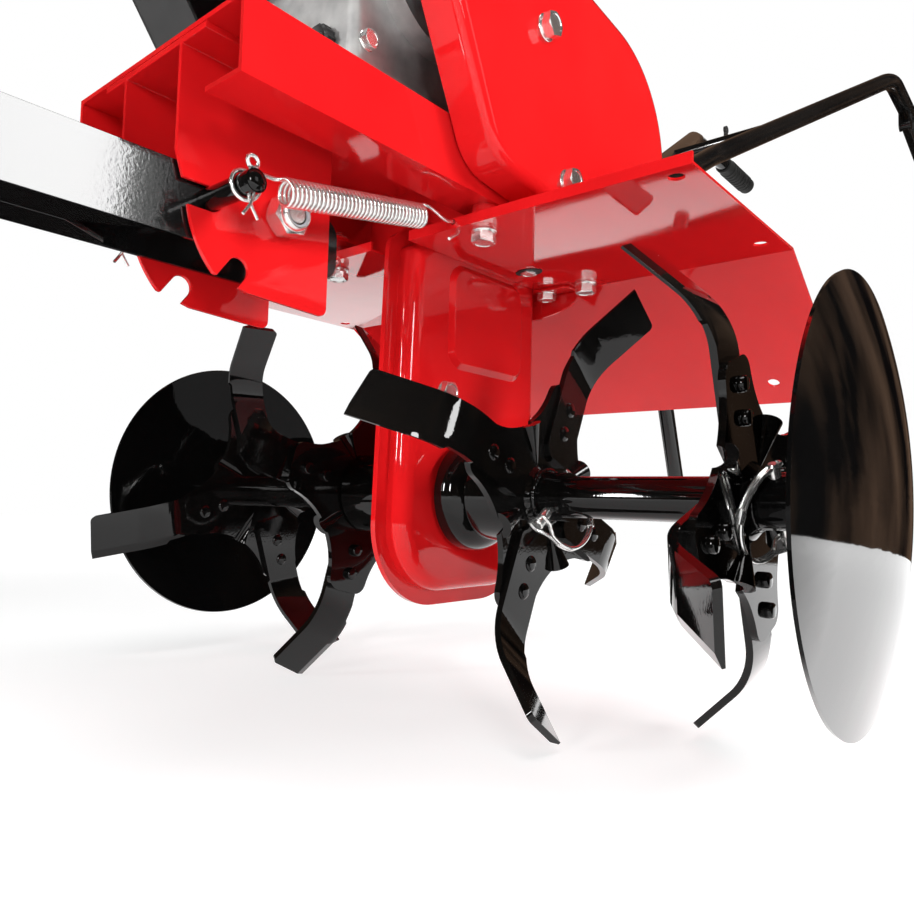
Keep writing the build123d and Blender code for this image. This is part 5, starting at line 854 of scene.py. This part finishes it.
# Rivets: a low head on the blade, a plain tail on the star
PHASES = (("inner", 1, 23.0), ("outer", 1, 70.0), ("inner", -1, 15.0), ("outer", -1, -17.0))
RIVET_FACES = {"inner": (107.5, 97.5), "outer": (257.5, 267.5)}
RIVET_PLACES = (56.0, 78.0)
RIVET_HEAD = [(-1.0, 5.6), (0.0, 6.2), (0.5, 6.2), (1.4, 5.3), (1.9, 4.0), (2.0, 0)]
RIVET_TAIL = [(-1.0, 5.2), (0.0, 5.6), (3.8, 5.4), (4.7, 4.8), (5.0, 3.8), (5.0, 0)]
rivets = []
for rotor, sign, phase in PHASES:
    head_x, tail_x = RIVET_FACES[rotor]
    out = 1 if head_x > tail_x else -1
    for turn in range(4):
        for reach in RIVET_PLACES:
            at = radial(phase + 90 * turn) * reach
            rivets.append(moved(lathe(RIVET_HEAD, 24), (sign * head_x, at.y, at.z), (sign * out, 0, 0)))
            rivets.append(moved(lathe(RIVET_TAIL, 24), (sign * tail_x, at.y, at.z), (-sign * out, 0, 0)))
            rivets.append(shank(4.0, (sign * tail_x, at.y, at.z), (sign * head_x, at.y, at.z)))
add_piece("tine_rivets", rivets, BLACK, "tine_rotor", ["blade_rivets"])

# Lock pins: a plain pin through the tube and a double wire bail from the eye round its end to its far side
PINS = ((116.0, -40.0, -1), (284.0, -124.0, 1))
PIN_R = 4.2
PIN_OUT = 35.0
PIN_FAR = -28.0
BAIL_LEAN = 25.0
BAIL_WIRE = 1.5
# Bail wire: along the pin, out to the side, and half the gap between its two runs
BAIL_LINE = (
    (31.0, -4.0, 8.5), (31.5, 3.0, 8.2), (31.5, 9.0, 4.2), (31.5, 15.0, 1.5), (31.0, 24.0, 1.5),
    (26.0, 33.0, 1.5), (16.0, 38.0, 1.5), (4.0, 38.5, 1.5), (-8.0, 34.0, 1.5), (-18.0, 24.0, 1.5),
    (-24.0, 13.0, 1.5), (-25.5, 3.0, 1.5), (-25.5, -6.0, 1.3),
)
BAIL_STEPS = 6
CRIMP = 8


def smooth_line(points, steps):
    """Points of a smooth curve through given points."""
    line = []
    ends = [points[0] * 2 - points[1], *points, points[-1] * 2 - points[-2]]
    for a, b, c, d in zip(ends, ends[1:], ends[2:], ends[3:]):
        for i in range(steps):
            t = i / steps
            line.append(0.5 * (2 * b + (c - a) * t + (2 * a - 5 * b + 4 * c - d) * t * t
                               + (3 * b - a - 3 * c + d) * t ** 3))
    return line + [points[-1]]


def lock_pin(x, angle, bail_side, sign):
    """One lock pin with its bail, on the side given by sign."""
    way = radial(angle)
    across = radial(angle + 90 * bail_side)
    lean = -radians(BAIL_LEAN) * sign * bail_side
    sweep = across * cos(lean) + Vector((sin(lean), 0, 0))
    edge = way.cross(sweep)
    middle = Vector((sign * x, 0, 0))
    body = lathe([(PIN_FAR, 0), (PIN_FAR, 2.6), (PIN_FAR + 2, PIN_R), (PIN_OUT - 1.2, PIN_R),
                  (PIN_OUT, 3.4), (PIN_OUT, 0)], 28)
    halves = []
    for side in (1, -1):
        points = [middle + way * w + sweep * s + edge * (side * e) for w, s, e in BAIL_LINE]
        halves.append(smooth_line(points, BAIL_STEPS))
    wire = tube(halves[0] + halves[1][::-1], BAIL_WIRE, 10, loop=True)
    spots = [middle + way * w + sweep * s for w, s, e in BAIL_LINE[CRIMP - 1:CRIMP + 2]]
    run = (spots[2] - spots[0]).normalized()
    crimp = tube([spots[1] - run * 5, spots[1] - run * 4.4, spots[1] + run * 4.4, spots[1] + run * 5],
                 [2.4, 3.2, 3.2, 2.4], 16)
    return [moved(body, middle, way), wire, crimp]


pins = []
for x, angle, bail_side in PINS:
    for sign in (1, -1):
        pins += lock_pin(x, angle, bail_side, sign)
add_piece("lock_pins", pins, ZINC, "tine_rotor", ["rotor_pins"])

# Latch springs: a ring round the latch pin, a close coil and a hook through the fender's lip
LATCH = (-262.0, 172.0)
LIP = (-78.0, 206.0)
SPRING_X = 68.0
SPRING_R = 7.8
SPRING_WIRE = 1.3
SPRING_TURNS = 36
SPRING_PITCH = 3.4
TURN_STEPS = 26
HOOK_R = 8.7


def spring_line(sign):
    """Centre line of one latch spring's wire; gives it with its coil's two ends."""
    pin = Vector((sign * SPRING_X, *LATCH))
    anchor = Vector((sign * SPRING_X, *LIP))
    way = (anchor - pin).normalized()
    out = Vector((1, 0, 0))
    up = out.cross(way)
    coil = SPRING_PITCH * SPRING_TURNS
    start = pin + way * (((anchor - pin).length - coil) / 2 - 4)
    line = []
    for i in range(31):
        turn = radians(300 - 10 * i)
        round_pin = up * (HOOK_R * cos(turn)) - way * (HOOK_R * sin(turn))
        line.append(pin + round_pin + out * (sign * 0.004 * (30 - i) ** 2))
    coil_line = []
    for i in range(SPRING_TURNS * TURN_STEPS + 1):
        turn = 2 * pi * i / TURN_STEPS
        along = way * (SPRING_PITCH * i / TURN_STEPS)
        coil_line.append(start + (up * cos(turn) + out * sin(turn)) * SPRING_R + along)
    lead = line[-1] + way * 6
    line.append(lead)
    line += curve(lead, way * 12, coil_line[0], (coil_line[1] - coil_line[0]).normalized() * 9, 14)
    line += coil_line[1:]
    throat = anchor - way * 6
    line += curve(coil_line[-1], (coil_line[-1] - coil_line[-2]).normalized() * 9, throat, way * 8, 14)
    back = anchor + way * 3
    line.append(back)
    line += curve(back, way * 5, anchor + Vector((0, 5, -8)), Vector((0, -3, -4)), 8)
    line.append(anchor + Vector((0, -4, -14)))
    return line, start, start + way * coil


for name, sign in (("latch_spring_left", 1), ("latch_spring_right", -1)):
    line, low_end, high_end = spring_line(sign)
    spring = make_mesh(name, tube(line, SPRING_WIRE, 10), ZINC, 60.0)
    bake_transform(spring)
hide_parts("latch_springs")

# Latch pin ends: domes, and a split pin through each
LATCH_END = 80.0
COTTER_X = 75.5
COTTER_WIRE = 1.25
EYE_R = 3.6
EYE_Z = 12.2
domes = []
cotters = []
for sign in (1, -1):
    dome = lathe([(-3, 7.02), (-1.5, 7.0), (0.2, 6.4), (1.6, 5.0), (2.4, 3.0), (2.7, 0)], 36)
    domes.append(moved(dome, (sign * (LATCH_END - 0.4), *LATCH), (sign, 0, 0)))
    top = Vector((sign * COTTER_X, *LATCH))
    for side in (1, -1):
        step = Vector((0.9 * side, 0, 0))
        leg = [top + step + Vector((0, 0.9 * side, 9)), top + step + Vector((0, 0.9 * side, -7.5))]
        leg += curve(leg[-1], Vector((0, 0, -4)), top + step + Vector((0, -5.5 * side, -20)),
                     Vector((0, -2.5 * side, -4)), 8)
        cotters.append(tube(leg, COTTER_WIRE * 0.8, 8))
    eye = []
    for i in range(12):
        turn = radians(30 * i)
        eye.append(top + Vector((0, EYE_R * sin(turn), EYE_Z - EYE_R * cos(turn))))
    cotters.append(tube(eye, COTTER_WIRE, 8, loop=True))
add_piece("latch_pin_ends", domes, BLACK, "front_arm")
add_piece("split_pins", cotters, ZINC, "front_arm")

# Bracket under the fenders behind the chain case, with its bolts, and the web across the chassis
def plate(outline, axis, low, high):
    """Plate across X, Y or Z between two places; its outline keeps the order of the other axes."""
    points = []
    for depth in (low, high):
        for u, v in outline:
            points.append(Vector({"X": (depth, u, v), "Y": (u, depth, v), "Z": (u, v, depth)}[axis]))
    count = len(outline)
    faces = [(i, (i + 1) % count, count + (i + 1) % count, count + i) for i in range(count)]
    return points, faces + [tuple(reversed(range(count))), tuple(range(count, 2 * count))]


def add_sheet(name, shapes, width):
    """Red sheet parts with rounded edges."""
    piece = add_piece(name, shapes, RED, "machine")
    edge = piece.modifiers.new("edge", "BEVEL")
    edge.width = width * MM
    edge.segments = 3
    edge.limit_method = "ANGLE"


TAB_LINE = (
    (22.0, 198.0), (58.0, 198.0), (61.0, 196.0), (62.0, 192.5), (60.0, 188.5), (54.0, 184.5),
    (44.0, 181.0), (32.0, 178.5), (20.0, 177.0),
)
TAB_Y = (113.0, 116.0)
TAB_LEG = ((22.0, 96.0), (56.0, 96.0), (60.0, 100.0), (60.0, 116.0), (22.0, 116.0))
TAB_BOLT = (33.0, 104.0)
BRIDGE = ((-22.0, 176.0), (22.0, 176.0), (22.0, 212.0), (16.0, 218.0), (-16.0, 218.0), (-22.0, 212.0))
tabs = [plate(BRIDGE, "Y", *TAB_Y)]
tab_bolts = []
for sign in (1, -1):
    tabs.append(plate([(sign * x, z) for x, z in TAB_LINE], "Y", *TAB_Y))
    tabs.append(plate([(sign * x, y) for x, y in TAB_LEG], "Z", FENDER_Z - 3, FENDER_Z))
    tab_bolts += bolt_head(4.6, (sign * TAB_BOLT[0], TAB_BOLT[1], FENDER_Z - 3), DOWN, 20, spring=False)
add_sheet("rear_bracket", tabs, 1.0)
add_piece("bracket_bolts", tab_bolts, ZINC, "machine")
WEB = ((-62.0, 203.5), (62.0, 203.5), (62.0, 256.0), (54.0, 264.0), (-54.0, 264.0), (-62.0, 256.0))
add_sheet("chassis_web", [plate(WEB, "Y", -41.5, -38.5)], 1.0)

# Weld beads round the tubes at the stars
BEADS = ((107.0, 20.6), (272.2, 17.8))
BEAD_STEPS = 120
beads = []
for rotor_x, bead_r in BEADS:
    for sign in (1, -1):
        ring = []
        sizes = []
        for i in range(BEAD_STEPS):
            turn = 2 * pi * i / BEAD_STEPS
            ring.append(Vector((sign * rotor_x, bead_r * cos(turn), bead_r * sin(turn))))
            sizes.append(2.4 + 0.35 * abs(sin(13 * turn)))
        beads.append(tube(ring, sizes, 12, loop=True))
add_piece("hub_welds", beads, BLACK, "tine_rotor")

# Front tyre with chevron lugs
WHEEL_AT = (-501.0, 168.0)
TYRE_SIDES = 160
TYRE_LUGS = 20
LUG_DEPTH = 4.0
LUG_FROM = 107.0
LUG_SHARE = 0.62


def tyre():
    """Tyre about X: rounded walls and a crown cut into chevron lugs."""
    profile = [(-12.5, 61.1), (-11.5, 72.0), (-18.0, 74.0), (-21.6, 82.0), (-23.0, 92.0), (-21.8, 101.0)]
    across = [-19.0 + 38.0 * i / 18 for i in range(19)]
    crown = [(x, 120.0 - 12.0 * (x / 19.0) ** 2) for x in across]
    profile += crown + [(-x, r) for x, r in reversed(profile)]
    points = []
    rings = []
    for x, radius in profile:
        rings.append(next_ring(points, TYRE_SIDES))
        for i in range(TYRE_SIDES):
            share = TYRE_LUGS * i / TYRE_SIDES + abs(x) / 16.0
            cut = LUG_DEPTH if radius > LUG_FROM and share - floor(share) > LUG_SHARE else 0.0
            angle = 2 * pi * i / TYRE_SIDES
            reach = radius - cut
            points.append(Vector((x, WHEEL_AT[0] + reach * sin(angle), WHEEL_AT[1] + reach * cos(angle))))
    faces = [tuple(reversed(face)) for face in ring_faces(rings, TYRE_SIDES, True)]
    return points, faces


add_piece("lugged_tyre", [tyre()], RUBBER, "front_wheel", ["wheel_tyre"])

# Starter rope: a braided cord from the recoil housing to the grip
CRANK = (-115.0, 371.0)
ROPE_X = -151.0
ROPE_R = 2.0
ROPE_ENDS = (42.0, 84.4)
PULL = Vector((0, cos(radians(45)), sin(radians(45))))


def braided_rope():
    """Cord along the pull, with crossing strands raised on it."""
    count = 170
    sides = 32
    origin = Vector((ROPE_X, *CRANK))
    side = Vector((1, 0, 0))
    other = PULL.cross(side)
    points = []
    rings = []
    for i in range(count + 1):
        along = ROPE_ENDS[0] + (ROPE_ENDS[1] - ROPE_ENDS[0]) * i / count
        rings.append(next_ring(points, sides))
        for k in range(sides):
            angle = 2 * pi * k / sides
            strand = max(sin(4 * angle + 1.6 * along), sin(4 * angle - 1.6 * along))
            radius = ROPE_R * (0.93 + 0.07 * strand)
            points.append(origin + PULL * along + (side * cos(angle) + other * sin(angle)) * radius)
    return points, capped_faces(rings, sides)


rope = make_mesh("starter_cord", braided_rope(), ROPE, 80.0)
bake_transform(rope)
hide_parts("starter_rope")

# Engine trim: cover bolts, oil plug, muffler guard, wing nut and recoil hub
TILT = radians(25)
BARREL = Vector((0, -cos(TILT), sin(TILT)))
BARREL_UP = Vector((0, sin(TILT), cos(TILT)))
HEAD_FACE = 220.5
BLOCK_SIDE = 70.0
VALVE_BOLTS = ((-36.0, -36.0), (-36.0, 36.0), (12.0, -36.0), (12.0, 36.0))
CASE_BOLTS = ((-174.0, 300.0), (-56.0, 300.0), (-174.0, 410.0), (-56.0, 410.0))
engine_bolts = []
for y, z in CASE_BOLTS:
    engine_bolts += bolt_head(3.5, (BLOCK_SIDE, y, z), LEFT, 8, spring=False)
for x, u in VALVE_BOLTS:
    at = Vector((x, *CRANK)) + BARREL * HEAD_FACE + BARREL_UP * u
    engine_bolts += bolt_head(3.0, at, BARREL, 20, spring=False)
add_piece("engine_bolts", engine_bolts, ZINC, "machine")


def knurled(radius, low, high, teeth):
    """Round knob about Z with grip ribs."""
    sides = teeth * 6
    points = []
    rings = []
    profile = (
        (low, 0.9, 0), (low + 1, 1, 0.05), (high - 2, 1, 0.05), (high, 0.86, 0), (high - 0.8, 0.7, 0),
    )
    for height, share, rib in profile:
        rings.append(next_ring(points, sides))
        for i in range(sides):
            angle = 2 * pi * i / sides
            grip = radius * (share + rib * (1 if i % 6 < 3 else -1))
            points.append(Vector((grip * cos(angle), grip * sin(angle), height)))
    return points, capped_faces(rings, sides)


PLUG_AT = (40.0, -185.0, 302.0)
FORWARD = (0, -1, 0)
finger_bar = [Vector((x, 0, z)) for x, z in ((-8, 9.5), (-7, 11.5), (7, 11.5), (8, 9.5))]
oil_plug = [
    moved(knurled(12.0, 0, 9, 14), PLUG_AT, FORWARD),
    moved(tube(finger_bar, 2.2, 12), PLUG_AT, FORWARD),
]
add_piece("oil_plug", oil_plug, PLASTIC, "machine")

GUARD_X = 142.0
GUARD_Y = (-344.0, -258.0)
GUARD_Z = (416.0, 504.0)
GUARD_CORNER = 12.0
GUARD_WIRE = 2.2
GUARD_BAR = 1.8
GUARD_BARS = (-330.0, -315.5, -301.0, -286.5, -272.0)
GUARD_FEET = (-322.0, -280.0)
MUFFLER_SIDE = 134.0
guard_loop = []
for y_end, z_end, turn in ((1, 1, 0), (0, 1, 90), (0, 0, 180), (1, 0, 270)):
    corner = Vector((GUARD_X, GUARD_Y[y_end], GUARD_Z[z_end]))
    inward = Vector((0, -1 if y_end else 1, -1 if z_end else 1))
    for i in range(7):
        swing = radians(turn + 15 * i)
        guard_loop.append(corner + (inward + Vector((0, cos(swing), sin(swing)))) * GUARD_CORNER)
guard = [tube(guard_loop, GUARD_WIRE, 10, loop=True)]
for y in GUARD_BARS:
    guard.append(tube([Vector((GUARD_X + 2, y, z)) for z in GUARD_Z], GUARD_BAR, 10))
for y in GUARD_FEET:
    for z in GUARD_Z:
        guard.append(tube([Vector((x, y, z)) for x in (MUFFLER_SIDE, GUARD_X)], GUARD_WIRE, 10))
add_piece("muffler_guard", guard, HEAT_BLACK, "machine")

WING_AT = Vector((-97.0, -296.0, 566.0))
WING_BODY = ((0, 7.5), (1.2, 7.5), (1.6, 5.6), (8.0, 4.6), (9.0, 3.6), (9.0, 0))
WING_EAR = ((3, 3), (9, 6), (14, 11), (15, 15), (12, 15.5), (7, 11), (3, 8))
wing = [moved(lathe(WING_BODY, 28), WING_AT)]
for side in (1, -1):
    ear = [WING_AT + Vector((side * x, 0, z)) for x, z in WING_EAR]
    wing.append(tube(smooth_line(ear + ear[:1], 4)[:-1], 1.5, 10, loop=True))
add_piece("cleaner_wing_nut", wing, ZINC, "machine")

RECOIL_FACE = -168.0
HUB_LINE = ((-2, 22), (0, 22), (1.4, 21), (2.2, 19), (2.4, 12), (1.6, 10.5), (1.6, 0))
hub = moved(lathe(HUB_LINE, 48), (RECOIL_FACE, *CRANK), RIGHT)
add_piece("recoil_hub", [hub], PLASTIC, "machine")
